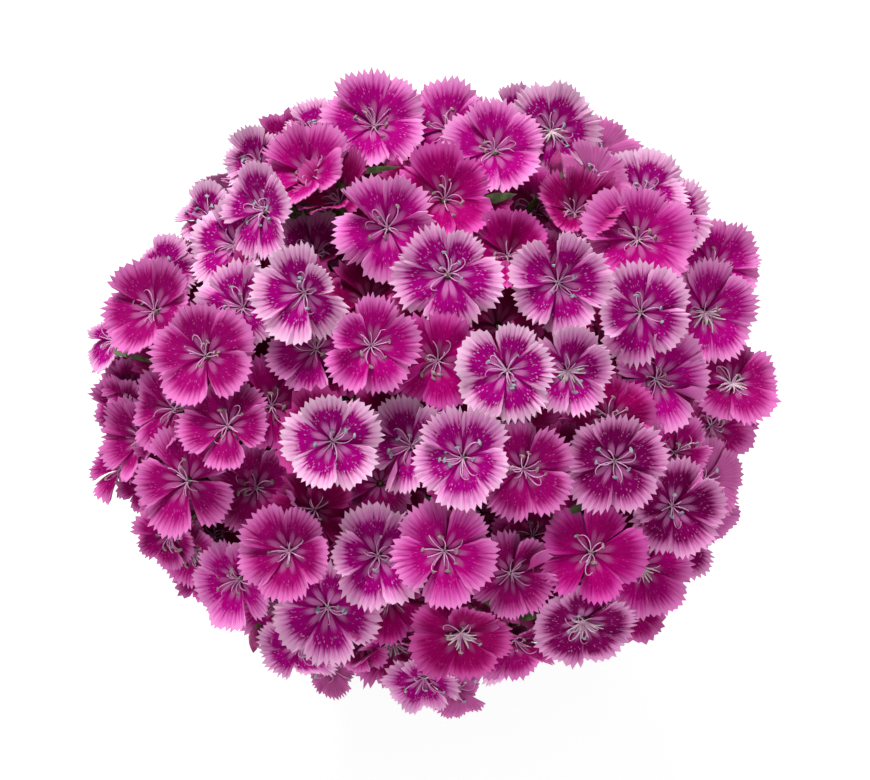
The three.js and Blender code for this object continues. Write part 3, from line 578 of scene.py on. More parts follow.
def inner_florets(settled):
    """Smaller florets crowded under the outer ones, which close the gaps between them."""
    draw = seeded(INNER_SEED)
    inner = []

    def add(place, normal, radius, spin, tint):
        index = FIRST_INNER + len(inner)
        inner.append(Floret(index, place, unit(normal), radius, DEEPEST_LAYER, spin, tint))

    for k in range(INNER_CANDIDATES):
        way = spiral_way(k, INNER_CANDIDATES, INNER_START)
        size, spin, lean = draw(), draw(), draw()
        for depth in INNER_DEPTHS:
            radii = DOME_RADII - depth
            place = way * radii * tuck_at(unit(way / radii) @ TOWARD) + DOME_CENTRE
            if has_room(place, settled, inner):
                normal = unit(way / radii + np.array([INNER_LEAN * (lean - 0.5), 0, INNER_LIFT]))
                # the inner florets take the dark tint, partly painted shade for the gaps they fill
                add(place, normal, INNER_RADIUS + FLORET_RADIUS_SPREAD * size, 360 * spin, "dark")
                break
    for across, up, deep, radius in PATCHES:
        place = onto_dome(across, up)
        outward = unit(place - DOME_CENTRE)
        place = place - TOWARD * deep - outward * PATCH_SUNK
        add(place, outward + PATCH_FACING * TOWARD, radius, 360 * draw(), "mauve")
    return inner


class Hub:
    """Where one head's stalks meet, on top of its stem."""

    def __init__(self, ring, k):
        self.ring = ring
        self.count, polar, turn, root, self.leaf_levels = HEAD_RINGS[ring]
        self.outer = ring == len(HEAD_RINGS) - 1
        self.turn = math.radians(turn + 360 * k / self.count)
        polar = math.radians(polar)
        facing = level_way(self.turn)
        self.axis = facing * math.sin(polar) + UPRIGHT * math.cos(polar)
        reach = 1 / np.linalg.norm(self.axis / DOME_RADII)
        self.centre = DOME_CENTRE + self.axis * (reach - HUB_DEPTH)
        self.along = unit(self.axis + UPRIGHT)
        self.step = 2 if self.count % 2 and k == self.count - 1 else k % 2
        foot = facing * root + UPRIGHT * (SOIL_TOP - STEM_ROOT_DEPTH)
        top = self.centre - self.along * (HUB_RADIUS + FIT_GAP)
        rise = top[2] - foot[2]
        foot_handle = foot + UPRIGHT * (rise * STEM_FOOT_HANDLE)
        self.handles = (foot, foot_handle, top - self.along * rise * STEM_TOP_HANDLE, top)

    def stem_point(self, t):
        a, b, c, d = self.handles
        s = 1 - t
        return a * s**3 + b * 3 * s * s * t + c * 3 * s * t * t + d * t**3

    def stem_at_height(self, height):
        low, high = 0.0, 1.0
        for _ in range(HALVINGS):
            middle = (low + high) / 2
            if self.stem_point(middle)[2] < height:
                low = middle
            else:
                high = middle
        return self.stem_point(low)


def head_near(place):
    """The number of the head whose axis a place lies nearest."""
    outward = unit(place - DOME_CENTRE)
    return max(range(len(hubs)), key=lambda k: hubs[k].axis @ outward)


hubs = [Hub(ring, k) for ring in range(len(HEAD_RINGS)) for k in range(HEAD_RINGS[ring][0])]
florets = laid_out_florets()
florets += inner_florets(florets)
for floret in florets:
    floret.head = head_near(floret.place)


# ---------------------------------------------------------------- materials

def linear(screen):
    """A 0-255 screen colour as the linear light values a shader takes."""
    shares = [v / 255 for v in screen]
    return tuple(v / 12.92 if v <= 0.04045 else ((v + 0.055) / 1.055) ** 2.4 for v in shares)


class Finish:
    """A material being wired up. Each method adds one node and gives its output."""

    def __init__(self, name, roughness, specular=0.5, sheen=0.0):
        self.material = bpy.data.materials.new(name)
        self.material.use_nodes = True
        self.tree = self.material.node_tree
        self.shader = self.tree.nodes["Principled BSDF"]
        self.shader.inputs["Roughness"].default_value = roughness
        self.shader.inputs["Specular IOR Level"].default_value = specular
        self.shader.inputs["Sheen Weight"].default_value = sheen

    def put(self, socket, value):
        if isinstance(value, bpy.types.NodeSocket):
            self.tree.links.new(value, socket)
        elif isinstance(value, tuple) and socket.type == "RGBA" and len(value) == 3:
            socket.default_value = (*value, 1)
        else:
            socket.default_value = value

    def node(self, kind, inputs, **settings):
        made = self.tree.nodes.new(kind)
        for key, value in settings.items():
            setattr(made, key, value)
        for key, value in inputs.items():
            self.put(made.inputs[key], value)
        return made

    def math(self, operation, a, b=0.0, clamp=False):
        return self.node("ShaderNodeMath", {0: a, 1: b}, operation=operation, use_clamp=clamp).outputs[0]

    def times(self, a, b):
        return self.math("MULTIPLY", a, b)

    def plus(self, a, b):
        return self.math("ADD", a, b)

    def less(self, a, b):
        return self.math("SUBTRACT", a, b)

    def rest(self, share):
        """What a share leaves of one."""
        return self.math("SUBTRACT", 1.0, share)

    def off_middle(self, across):
        """0 on the middle line and 1 at both sides of a strip that is one unit across."""
        return self.math("ABSOLUTE", self.less(self.times(across, 2.0), 1.0))

    def step(self, value, start, end):
        """0 before start and 1 after end, smooth between."""
        inputs = {"Value": value, "From Min": start, "From Max": end}
        made = self.node("ShaderNodeMapRange", inputs, interpolation_type="SMOOTHSTEP")
        return made.outputs[0]

    def mix(self, share, a, b):
        return self.node("ShaderNodeMix", {0: share, 6: a, 7: b}, data_type="RGBA").outputs[2]

    def vector(self, x, y, z=0.0):
        return self.node("ShaderNodeCombineXYZ", {0: x, 1: y, 2: z}).outputs[0]

    def noise(self, vector, scale, detail=2.0):
        inputs = {"Vector": vector, "Scale": scale, "Detail": detail}
        return self.node("ShaderNodeTexNoise", inputs).outputs[0]

    def attribute(self, name, output):
        return self.node("ShaderNodeAttribute", {}, attribute_name=name).outputs[output]

    def place_on(self, uv_map):
        """The two coordinates of a piece's own map."""
        uv = self.node("ShaderNodeUVMap", {}, uv_map=uv_map).outputs[0]
        parts = self.node("ShaderNodeSeparateXYZ", {0: uv})
        return parts.outputs[0], parts.outputs[1]

    def object_place(self):
        return self.node("ShaderNodeTexCoord", {}).outputs["Object"]

    def bump(self, height, strength, distance):
        inputs = {"Height": height, "Strength": strength, "Distance": distance}
        self.put(self.shader.inputs["Normal"], self.node("ShaderNodeBump", inputs).outputs[0])

    def colour(self, value):
        self.put(self.shader.inputs["Base Color"], value)
        return self.material


TEETH = 11
STREAKS = 30.0
STREAKS_OUT = 2.2
BACK_VEINS = 40.0
SEED_SHIFT = 50.0
FEATHER = 0.30
GROOVE_FEATHER = 0.035
SIDE_FALL = 0.16
SIDE_BAND = 0.62
STREAK_DEEPENING = 0.4
THROAT_DEEPENING = 0.6
SPECKS_LEFT_OUT = 0.22
SPECK_STRENGTH = 0.6
EAR_STRENGTH = 0.95
THROAT_COLOUR = linear((58, 38, 18))
STAR_COLOUR = linear((218, 130, 196))
DEEPENING = linear((186, 150, 184))


def zone_end(made, side, reach, streaks, groove):
    """The feathering of the zone's end, and where it lies: out in the grooves, in at the sides."""
    feather = made.times(made.less(streaks, 0.5), FEATHER)
    feather = made.plus(feather, made.times(made.less(groove, 0.4), GROOVE_FEATHER))
    side_fall = made.times(made.math("POWER", side, 5.0), SIDE_FALL)
    return feather, made.plus(made.less(reach, side_fall), feather)


def deepened(made, zone, out, streaks):
    """The zone's own colour, deeper in streaks and towards the throat."""
    depth = made.times(made.step(streaks, 0.35, 0.68), STREAK_DEEPENING)
    near_throat = made.rest(made.step(out, 0.22, 0.56))
    depth = made.math("MAXIMUM", depth, made.times(near_throat, THROAT_DEEPENING))
    darker = made.node("ShaderNodeMix", {0: 1.0, 6: zone, 7: DEEPENING},
                       data_type="RGBA", blend_type="MULTIPLY").outputs[2]
    return made.mix(depth, zone, darker)


def speckles(made, shifted, out, seed, pale, strength):
    """How strongly pale speckles show, in radial rows over the outer part of the zone."""
    cells = made.node("ShaderNodeTexVoronoi", {
        "Vector": made.vector(made.times(shifted, 0.85), made.times(out, 10.0), seed), "Scale": 1.0})
    dot = made.rest(made.step(cells.outputs["Distance"], 0.14, 0.31))
    cell = made.node("ShaderNodeSeparateColor", {0: cells.outputs["Color"]}).outputs[0]
    chosen = made.math("GREATER_THAN", cell, SPECKS_LEFT_OUT)
    window = made.times(made.step(out, 0.40, 0.54), made.rest(pale))
    speck = made.times(made.times(dot, chosen), made.times(window, SPECK_STRENGTH))
    return made.times(speck, made.plus(made.times(strength, 0.7), 0.25))


def throat_ears(made, side, out, seed, feather, fine, strength):
    """How strongly two pale ears a petal show round the throat, with a dark line between them."""
    ear_middle = made.plus(0.34, made.times(seed, 0.12))
    off_ear = made.math("ABSOLUTE", made.less(side, ear_middle))
    ear_width = made.rest(made.step(off_ear, 0.26, 0.38))
    rounding = made.times(made.times(off_ear, off_ear), 1.1)
    ear_out = made.plus(made.plus(out, rounding), made.times(feather, 0.5))
    ear_out = made.plus(ear_out, made.times(made.less(fine, 0.5), 0.4))
    star = made.times(ear_width, made.rest(made.step(ear_out, 0.31, 0.45)))
    return made.times(made.times(star, strength), EAR_STRENGTH)


def petal_finish():
    """A dark zone feathered into a pale fringed band, with a pale star and rows of speckles."""
    made = Finish("petal_face", 0.65, specular=0.02)
    across, out = made.place_on("petal")
    seed = made.attribute("seed", 2)
    zone = made.attribute("zone", 0)
    band = made.attribute("band", 0)
    rim = made.attribute("rim", 0)
    reach = made.attribute("reach", 2)
    star_strength = made.attribute("star", 2)
    side = made.off_middle(across)
    shifted = made.plus(made.times(across, STREAKS), made.times(seed, SEED_SHIFT))
    outward = made.times(out, STREAKS_OUT)
    streaks = made.noise(made.vector(shifted, outward, made.times(seed, 9.0)), 1.0)
    fine = made.noise(made.vector(made.times(shifted, 3.0), outward), 1.0, 3.0)
    # grooves between the ribs that run to the teeth
    wave = made.math("COSINE", made.times(across, 2 * math.pi * TEETH))
    groove = made.math("POWER", made.plus(made.times(wave, 0.5), 0.5), 2.0)
    # the pale band beyond the zone, also along the petal's sides, and paler still at the very rim
    feather, end = zone_end(made, side, reach, streaks, groove)
    softness = made.less(0.16, made.times(star_strength, 0.10))
    pale = made.step(made.math("DIVIDE", made.less(out, end), softness), -1.0, 1.0)
    edge = made.times(made.step(side, 0.86, 0.98), made.step(out, 0.40, 0.60))
    pale = made.math("MAXIMUM", pale, made.times(edge, SIDE_BAND))
    fading = made.rest(made.step(out, 0.66, 1.0))
    ray = made.plus(out, made.times(made.less(fine, 0.5), 0.5))
    outer = made.mix(made.step(ray, 0.70, 0.94), band, rim)
    outer = made.mix(made.times(made.times(groove, fading), 0.4), outer, zone)
    inner = deepened(made, zone, out, streaks)
    inner = made.mix(speckles(made, shifted, out, seed, pale, star_strength), inner, rim)
    star = throat_ears(made, side, out, seed, feather, fine, star_strength)
    star_colour = made.mix(made.step(fine, 0.35, 0.65), made.mix(0.35, STAR_COLOUR, zone), STAR_COLOUR)
    face = made.mix(pale, made.mix(star, inner, star_colour), outer)
    throat = made.rest(made.step(out, 0.07, 0.12))
    made.bump(fine, 0.45, 0.0002)
    return made.colour(made.mix(throat, face, THROAT_COLOUR))


def petal_back_finish():
    """The underside, a paler even mauve with fine veins along it that fades to the rim's colour."""
    made = Finish("petal_back", 0.7, specular=0.02)
    across, out = made.place_on("petal")
    seed = made.attribute("seed", 2)
    band = made.attribute("band", 0)
    rim = made.attribute("rim", 0)
    zone = made.attribute("zone", 0)
    shifted = made.plus(made.times(across, BACK_VEINS), made.times(seed, SEED_SHIFT))
    veins = made.noise(made.vector(shifted, made.times(out, 1.5)), 1.0, 3.0)
    share = made.math("ADD", made.times(veins, 0.9), -0.15, clamp=True)
    back = made.mix(share, band, zone)
    edge = made.times(made.step(out, 0.55, 1.0), 0.6)
    made.bump(veins, 0.4, 0.0002)
    return made.colour(made.mix(edge, back, rim))


def mottled(name, light, dark, roughness, scale, bump=0.0, specular=0.4):
    """A plain natural surface that wanders between two colours."""
    made = Finish(name, roughness, specular=specular)
    where = made.object_place()
    cloud = made.noise(where, scale, 4.0)
    if bump:
        made.bump(made.noise(where, scale * 6, 2.0), bump, 0.0004)
    return made.colour(made.mix(made.step(cloud, 0.35, 0.65), linear(dark), linear(light)))


def leaf_finish():
    """A grey-green blade with a pale midrib and faint lengthwise veins."""
    made = Finish("leaf_blade", 0.55, specular=0.35, sheen=0.05)
    across, along = made.place_on("leaf")
    side = made.off_middle(across)
    cloud = made.noise(made.object_place(), 60.0, 4.0)
    green = made.mix(made.step(cloud, 0.3, 0.7), linear((62, 88, 44)), linear((96, 124, 66)))
    veins = made.noise(made.vector(made.times(across, 30.0), made.times(along, 2.0)), 1.0)
    green = made.mix(made.times(made.step(veins, 0.5, 0.7), 0.35), green, linear((120, 142, 88)))
    rib = made.rest(made.step(side, 0.03, 0.11))
    green = made.mix(made.times(rib, 0.6), green, linear((150, 168, 112)))
    made.bump(veins, 0.3, 0.0003)
    return made.colour(green)


def pot_finish():
    """Charcoal moulded plastic with a fine grain, faint flow lines and soil dust near the rim."""
    made = Finish("pot_plastic", 0.48, specular=0.4)
    where = made.object_place()
    parts = made.node("ShaderNodeSeparateXYZ", {0: where})
    cloud = made.noise(where, 45.0, 4.0)
    base = made.mix(made.step(cloud, 0.35, 0.7), linear((47, 50, 49)), linear((55, 58, 57)))
    dust = made.times(made.step(parts.outputs[2], 0.066, 0.086), made.step(cloud, 0.45, 0.62))
    base = made.mix(made.times(dust, 0.35), base, linear((112, 96, 80)))
    drawn_out = made.node("ShaderNodeMapping", {"Vector": where, "Scale": (1.0, 1.0, 0.04)}).outputs[0]
    lines = made.noise(drawn_out, 900.0)
    gloss = made.node("ShaderNodeMapRange", {"Value": lines, "To Min": 0.38, "To Max": 0.6})
    made.put(made.shader.inputs["Roughness"], gloss.outputs[0])
    made.bump(made.noise(where, 2600.0, 2.0), 0.12, 0.0002)
    return made.colour(base)


MATERIALS = {
    "petal_face": petal_finish(),
    "petal_back": petal_back_finish(),
    "filament": mottled("filament", (238, 190, 226), (216, 146, 198), 0.5, 300, specular=0.2),
    "filament_pale": mottled("filament_pale", (236, 222, 220), (206, 178, 194), 0.5, 300, specular=0.2),
    "anther_tan": mottled("anther_tan", (186, 160, 160), (138, 114, 118), 0.7, 900, 0.4, specular=0.2),
    "anther_grey": mottled("anther_grey", (186, 192, 200), (138, 144, 156), 0.7, 900, 0.4, specular=0.2),
    "calyx": mottled("calyx", (118, 138, 78), (84, 96, 52), 0.55, 220, 0.3),
    "bract": mottled("bract", (92, 108, 66), (62, 70, 44), 0.6, 420, 0.4, specular=0.25),
    "stem": mottled("stem", (112, 140, 80), (84, 108, 58), 0.5, 120, 0.2),
    "leaf": leaf_finish(),
    "pot": pot_finish(),
    "soil": mottled("potting_soil", (74, 54, 40), (38, 26, 18), 0.95, 260, 0.8, specular=0.2),
    "bark": mottled("bark_crumb", (110, 78, 52), (66, 44, 28), 0.9, 400, 0.6, specular=0.2),
    "perlite": mottled("perlite", (236, 232, 222), (206, 200, 188), 0.85, 500, 0.5, specular=0.2),
    "bud": mottled("bud", (188, 62, 138), (150, 28, 104), 0.5, 400, 0.2),
}


# ---------------------------------------------------------------- making meshes

def only(*objects):
    """Selects just these objects."""
    bpy.ops.object.select_all(action="DESELECT")
    for one in objects:
        one.select_set(True)
    bpy.context.view_layer.objects.active = objects[0]


def finished(piece, slot, *nodes):
    """Attaches a piece to the root body and hides the solids it stands for. The slot is not used."""
    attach(piece, "root")
    if nodes:
        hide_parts(*nodes)
    return piece


def smoothed(piece, degrees):
    only(piece)
    bpy.ops.object.shade_smooth_by_angle(angle=math.radians(degrees))
    return piece


class Heap:
    """Points and faces gathered into one mesh, with what is kept at each point."""

    def __init__(self):
        self.points = []
        self.faces = []
        self.material_of_face = []
        self.uvs = []
        self.marks = {}
        self.count = 0

    def add(self, points, faces, material=0, uv=None, **marks):
        points = np.asarray(points, float).reshape(-1, 3)
        self.points.append(points)
        self.faces.extend(tuple(int(v) + self.count for v in face) for face in faces)
        self.material_of_face.extend([material] * len(faces))
        self.uvs.append(np.zeros((len(points), 2)) if uv is None else np.asarray(uv).reshape(-1, 2))
        for key, value in marks.items():
            value = np.atleast_1d(np.asarray(value, float))
            self.marks.setdefault(key, []).append(np.tile(value, (len(points), 1)))
        self.count += len(points)

    def piece(self, name, materials, uv_map=None):
        mesh = bpy.data.meshes.new(name)
        points = np.concatenate(self.points) * MM
        mesh.from_pydata(points.tolist(), [], self.faces)
        mesh.polygons.foreach_set("material_index", self.material_of_face)
        if uv_map:
            layer = mesh.uv_layers.new(name=uv_map)
            corner = np.zeros(len(mesh.loops), int)
            mesh.loops.foreach_get("vertex_index", corner)
            layer.data.foreach_set("uv", np.concatenate(self.uvs)[corner].ravel())
        for key, rows in self.marks.items():
            rows = np.concatenate(rows)
            if rows.shape[1] == 1:
                mesh.attributes.new(key, "FLOAT", "POINT").data.foreach_set("value", rows.ravel())
            else:
                rows = np.hstack([rows, np.ones((len(rows), 1))])
                mesh.attributes.new(key, "FLOAT_COLOR", "POINT").data.foreach_set("color", rows.ravel())
        for material in materials:
            mesh.materials.append(MATERIALS[material])
        return added(name, mesh)


def sheet_faces(rows, columns):
    """Quads over a grid of points stored row by row."""
    return [
        (r * columns + c, (r + 1) * columns + c, (r + 1) * columns + c + 1, r * columns + c + 1)
        for r in range(rows - 1)
        for c in range(columns - 1)
    ]


def ring_faces(first, sides):
    """Quads between a ring of points and the ring that is stored after it."""
    return [
        (first + k, first + (k + 1) % sides, first + sides + (k + 1) % sides, first + sides + k)
        for k in range(sides)
    ]


def tubes(name, routes, material, bevel_resolution):
    """Round tubes along routes of points with a radius at each, as one mesh."""
    curve = bpy.data.curves.new(name, "CURVE")
    curve.dimensions = "3D"
    curve.bevel_depth = MM
    curve.bevel_resolution = bevel_resolution
    curve.use_fill_caps = True
    for points, radii in routes:
        spline = curve.splines.new("POLY")
        spline.points.add(len(points) - 1)
        for point, place, radius in zip(spline.points, points, radii):
            point.co = (*(np.asarray(place) * MM), 1)
            point.radius = radius
    curve.materials.append(MATERIALS[material])
    only(added(name, curve))
    bpy.ops.object.convert(target="MESH")
    made = bpy.context.view_layer.objects.active
    made.name = name
    only(made)
    bpy.ops.object.shade_smooth()
    return made


def joined(name, *parts):
    only(*parts)
    bpy.ops.object.join()
    made = bpy.context.view_layer.objects.active
    made.name = made.data.name = name
    return made


def applied(piece, *modifiers):
    """Bakes a piece's modifiers into its mesh, one after another."""
    only(piece)
    for modifier in modifiers:
        bpy.ops.object.modifier_apply(modifier=modifier)


def walled(piece, thickness, offset, material_offset=0):
    """Gives a thin sheet its thickness."""
    wall = piece.modifiers.new("wall", "SOLIDIFY")
    wall.thickness = thickness * MM
    wall.offset = offset
    wall.material_offset = material_offset
    applied(piece, "wall")
    return piece


def stretched(add, stretch, **settings):
    """A primitive pulled longer or flatter, as points in millimetres and faces."""
    bpy.ops.object.select_all(action="DESELECT")
    add(**settings)
    made = bpy.context.view_layer.objects.active
    bpy.ops.object.mode_set(mode="EDIT")
    bpy.ops.transform.resize(value=stretch)
    bpy.ops.object.mode_set(mode="OBJECT")
    points = np.array([v.co[:] for v in made.data.vertices])
    faces = [tuple(p.vertices) for p in made.data.polygons]
    bpy.data.objects.remove(made)
    return points, faces


# ---------------------------------------------------------------- petals

# How far out a petal's rows of points lie, as shares of its reach
ROWS = np.array([0.06, 0.17, 0.30, 0.43, 0.56, 0.67, 0.77, 0.885, 1.0])
INNER_ROWS = np.array([0.015, 0.3, 0.55, 0.77, 0.885, 1.0])
INNER_TEETH = 6
TOOTH_ROOT = 0.77
TOOTH_DEPTH = 0.108
TOOTH_SCATTER = 1.5
TIP_CUT = 0.55
UNEVEN_LEAST, UNEVEN_SPREAD = 0.7, 0.6
PETAL_HALF_WIDTH = 41.0
PETAL_THICKNESS = 0.28
RIB_HEIGHT = 0.22
SECTOR = 2 * math.pi / PETALS
FULL_TURN = 6.28
BOX_MARGIN = 0.2
SHORTENING = 0.97
CREASED_SHARE = 0.06
CREASE_WIDTH = 3.5
STANDING_SHARE = 0.14
STANDING_LEAST, STANDING_SPREAD = 3.0, 3.5
CUPPED_LEAST, CUPPED_SPREAD = 0.3, 0.9
NARROW_SHARE = 0.15
NARROWEST, NARROWING = 8.0, 3.0
# Painted shade: how much darker a petal's colours are made the more it points towards the back of the plant
PAINTED_SHADE_AT_BACK = 0.16
TONE_SCATTER = 0.14
REACH_SCATTER = 0.08
BACKED = 0.5  # florets that look this far towards or away from the eye have others behind them
# How round the corners are, how freely it narrows, how far it sways in degrees, how far it leans
BACKED_PETAL = (0.17, 1.0, 9.0, 4.0)
FREE_PETAL = (0.10, 0.2, 3.0, 2.0)
PETAL_SEED = 3000
FRINGE_SEED = 9000


def inside_box(floret, points):
    """Shortens a petal towards its throat until it lies inside the solids' box."""
    low = np.array(CAD_BOX[0]) / MM + BOX_MARGIN
    high = np.array(CAD_BOX[1]) / MM - BOX_MARGIN
    while (points < low).any() or (points > high).any():
        points = floret.place + (points - floret.place) * SHORTENING
    return points


def fringe_of(floret, k, columns):
    """Where one petal's edge points lie across it, how deep each is cut and how it flutters."""
    draw = seeded(FRINGE_SEED + PETALS * floret.index + k)
    across = np.linspace(-1, 1, columns)
    across[1:-1] += [TOOTH_SCATTER / columns * (draw() - 0.5) for _ in range(columns - 2)]
    cuts = np.array([draw() for _ in range(columns)])
    flutter = np.array([draw() - 0.5 for _ in range(columns)])
    return across, cuts, flutter


def waved(floret, k, draw, across, out, leaning):
    """How far a petal's points stand out of the face: its bowl, waves, curl, lean and twist."""
    hump = 0.4 + 0.9 * draw()
    swell, waves, start = 0.4 + 1.2 * draw(), 2.2 + 2.8 * draw(), FULL_TURN * draw()
    curl = 4.0 * draw() - 2.5
    lean = leaning * (draw() - 0.5)
    twist = 0.6 + 1.2 * draw()
    rise = floret.cup * out + floret.droops[k] * out**1.6
    rise = rise + hump * np.sin(np.pi * out)
    rise = rise + swell * out**2 * np.sin(across * waves + start)
    rise = rise + curl * across**2 * out**1.5 + lean * out**1.6
    return rise + twist * across * out


def petal_sheet(floret, k, draw, rows, teeth):
    """One petal's points and map: a pleated fan with an uneven toothed rim."""
    columns = 2 * teeth + 1
    across, cuts, flutter = fringe_of(floret, k, columns)
    tips = np.arange(columns) % 2 == 1
    backed = abs(unit(floret.place - DOME_CENTRE) @ TOWARD) > BACKED and not floret.inner
    corner, narrowable, sway, leaning = BACKED_PETAL if backed else FREE_PETAL
    # the outline: a fan with a waist, round corners and a row of cuts along its rim
    jagged = TOOTH_DEPTH * (UNEVEN_LEAST + UNEVEN_SPREAD * draw())
    cuts = np.where(tips, TIP_CUT * jagged * cuts**2, jagged * (UNEVEN_LEAST + UNEVEN_SPREAD * cuts))
    roundness = 0.03 + 0.06 * draw()
    outline = 1 - roundness * across**2 - corner * np.abs(across) ** 6
    out = np.repeat(rows[:, None], columns, axis=1)
    out[-1] = 1 - cuts
    out[-2] = (TOOTH_ROOT + out[-1]) / 2
    narrower = NARROWEST if draw() < NARROW_SHARE else NARROWING * draw()
    half = math.radians(PETAL_HALF_WIDTH - narrower * narrowable)
    waist = 0.86 + 0.14 * np.clip(rows / 0.45, 0, 1) ** 0.8
    middle = k * SECTOR + math.radians(sway) * (draw() - 0.5)
    angle = middle + across[None, :] * half * waist[:, None]
    reach = floret.radius * floret.reaches[k] * (1.06 - 0.10 * draw() ** 2)
    radius = reach * outline[None, :] * out
    # the relief: waves, ribs that run to the teeth, a fluttering rim and a sunk throat
    rise = waved(floret, k, draw, across, out, leaning)
    rise = rise + np.where(tips, RIB_HEIGHT, -RIB_HEIGHT) * np.clip(out - 0.25, 0, 1) ** 0.8
    rise = rise + 0.9 * flutter * np.clip(out - 0.6, 0, 1) / 0.4
    rise = rise - 7 * np.clip(0.2 - out, 0, 1)
    standing, lifted = draw() < STANDING_SHARE, STANDING_LEAST + STANDING_SPREAD * draw()
    cupped = floret.index in CUPPED
    if cupped:
        lifted = CUPPED[floret.index] * (CUPPED_LEAST + CUPPED_SPREAD * draw())
    if cupped or (standing and backed and floret.layer == 0):
        rise = rise + lifted * out**1.4
        radius = radius * (1 - 0.02 * lifted * out)
    # a few petals are folded over along a crease
    crease = 0.15 + 0.4 * draw()
    hand = 1 if draw() < 0.5 else -1
    turned = math.radians(60 + 80 * draw())
    if draw() < CREASED_SHARE and backed:
        crease_angle = middle + hand * crease * half * waist[:, None]
        beyond = np.clip(hand * (angle - crease_angle) * radius, 0, None)
        folding = turned * np.clip(beyond / CREASE_WIDTH, 0, 1)
        angle = angle - hand * beyond * (1 - np.cos(folding)) / np.maximum(radius, 0.5)
        rise = rise + beyond * np.sin(folding)
    even = np.linspace(0, 1, columns)
    uv = np.stack(np.broadcast_arrays(even, out), axis=-1)
    return inside_box(floret, floret.around(radius, angle, rise)), uv


def petals_piece(head, members):
    """The petals of a head's florets as thin sheets, with each petal's own colours, darkened by painted
    shade on the petals that point towards the back of the plant.
    """
    heap = Heap()
    for floret in members:
        rows, teeth = (INNER_ROWS, INNER_TEETH) if floret.inner else (ROWS, TEETH)
        faces = sheet_faces(len(rows), 2 * teeth + 1)
        zone, band, rim, reach, star, _ = TINTS[floret.tint]
        draw = seeded(PETAL_SEED + floret.index)
        reach += REACH_SCATTER * (draw() - 0.5)
        for k in range(PETALS):
            points, uv = petal_sheet(floret, k, draw, rows, teeth)
            # painted shade on petals that point towards the back, plus each petal's own random tone
            painted_shade_and_tone = 1 - PAINTED_SHADE_AT_BACK * (floret.spread(k * SECTOR) @ UP) + TONE_SCATTER * (draw() - 0.5)
            colours = {key: np.array(linear(value)) * painted_shade_and_tone
                       for key, value in (("zone", zone), ("band", band), ("rim", rim))}
            heap.add(points, faces, uv=uv, reach=reach, star=star, seed=draw(), **colours)
    made = heap.piece(f"petals_{head + 1:02d}", ("petal_face", "petal_back"), "petal")
    walled(made, PETAL_THICKNESS, -1, material_offset=1)
    return finished(smoothed(made, 55), "petals", f"flower_head_{head + 1:02d}")


# ---------------------------------------------------------------- stamens and styles

# A small flattened pouch, one millimetre long
ANTHER = stretched(
    bpy.ops.mesh.primitive_uv_sphere_add, (0.58, 0.48, 1.0), segments=6, ring_count=5, radius=0.5)
ANTHERS_KEPT = 0.72
FILAMENT_RADIUS = 0.15
FILAMENT_POINTS = 7
FEWEST_FILAMENTS, FILAMENTS_SPREAD = 7, 4
FILAMENT_LENGTH, FILAMENT_LENGTH_SPREAD = 2.2, 4.0
FILAMENT_LIFT, FILAMENT_LIFT_SPREAD = 0.6, 2.2
FILAMENT_SWERVE = 1.1
ANTHER_LENGTH, ANTHER_LENGTH_SPREAD = 1.45, 0.6
GATHERING = 0.9
STYLE_POINTS = 9
STYLE_APART = 2.4
# Older florets with a thick pale tuft of filaments that hangs towards the plant's front: rows in FLORETS
PALE_TUFTS = (3, 27, 33, 34, 48, 65, 63, 60, 26)
TUFT_RADIUS = 0.3
TUFT_POINTS = 6
TUFT_FILAMENTS = 9
TUFT_FAN = 0.42
STAMEN_SEED = 7000
TUFT_SEED = 8000


def frame_on(along, side):
    """Three directions square to each other, the last one along."""
    along = unit(along)
    side = unit(side - along * (side @ along))
    return side, np.cross(along, side), along


def pale_tuft(floret):
    """Routes of the flattened pale filaments of an older floret."""
    draw = seeded(TUFT_SEED + floret.index)
    share = np.linspace(0, 1, TUFT_POINTS)
    hang = math.atan2(-UP @ floret.north, -UP @ floret.east)
    for k in range(TUFT_FILAMENTS):
        bearing = hang + (k - TUFT_FILAMENTS // 2) * TUFT_FAN + 0.5 * (draw() - 0.5)
        out = 0.3 + (3.0 + 3.2 * draw()) * share
        rise = floret.cup * out / floret.radius + 1.4 * np.sin(share * 2.4)
        turn = bearing + 0.5 * (draw() - 0.5) * share**2
        yield floret.around(out, turn, rise), TUFT_RADIUS * np.linspace(1.5, 0.45, TUFT_POINTS)


def stamens_of(floret, draw):
    """Routes of a floret's filaments, and the points of the anthers that they still carry."""
    routes, anthers = [], []
    share = np.linspace(0, 1, FILAMENT_POINTS)
    count = FEWEST_FILAMENTS + int(FILAMENTS_SPREAD * draw())
    gathered = GATHERING * draw() ** 2
    towards = 2 * math.pi * draw()
    for k in range(count):
        bearing = 2 * math.pi * (k + 0.7 * (draw() - 0.5)) / count
        bearing = bearing + gathered * math.sin(towards - bearing)
        length = FILAMENT_LENGTH + FILAMENT_LENGTH_SPREAD * draw()
        lift = FILAMENT_LIFT + FILAMENT_LIFT_SPREAD * draw()
        swerve = FILAMENT_SWERVE * (draw() - 0.5)
        out = 0.4 + length * share
        turn = bearing + swerve * share**2
        rise = floret.cup * out / floret.radius + 0.1 + lift * np.sin(share * 2.7)
        route = floret.around(out, turn, rise)
        routes.append((route, FILAMENT_RADIUS * np.linspace(1.3, 0.8, FILAMENT_POINTS)))
        size = ANTHER_LENGTH + ANTHER_LENGTH_SPREAD * draw()
        x, y, z = frame_on(floret.spread(turn[-1] + 1.2, 0.4 * (draw() - 0.5)), floret.normal)
        points = ANTHER[0]
        if draw() < ANTHERS_KEPT:
            anthers.append(route[-1] + size * (points[:, :1] * y + points[:, 1:2] * x + points[:, 2:] * z))
    return routes, anthers


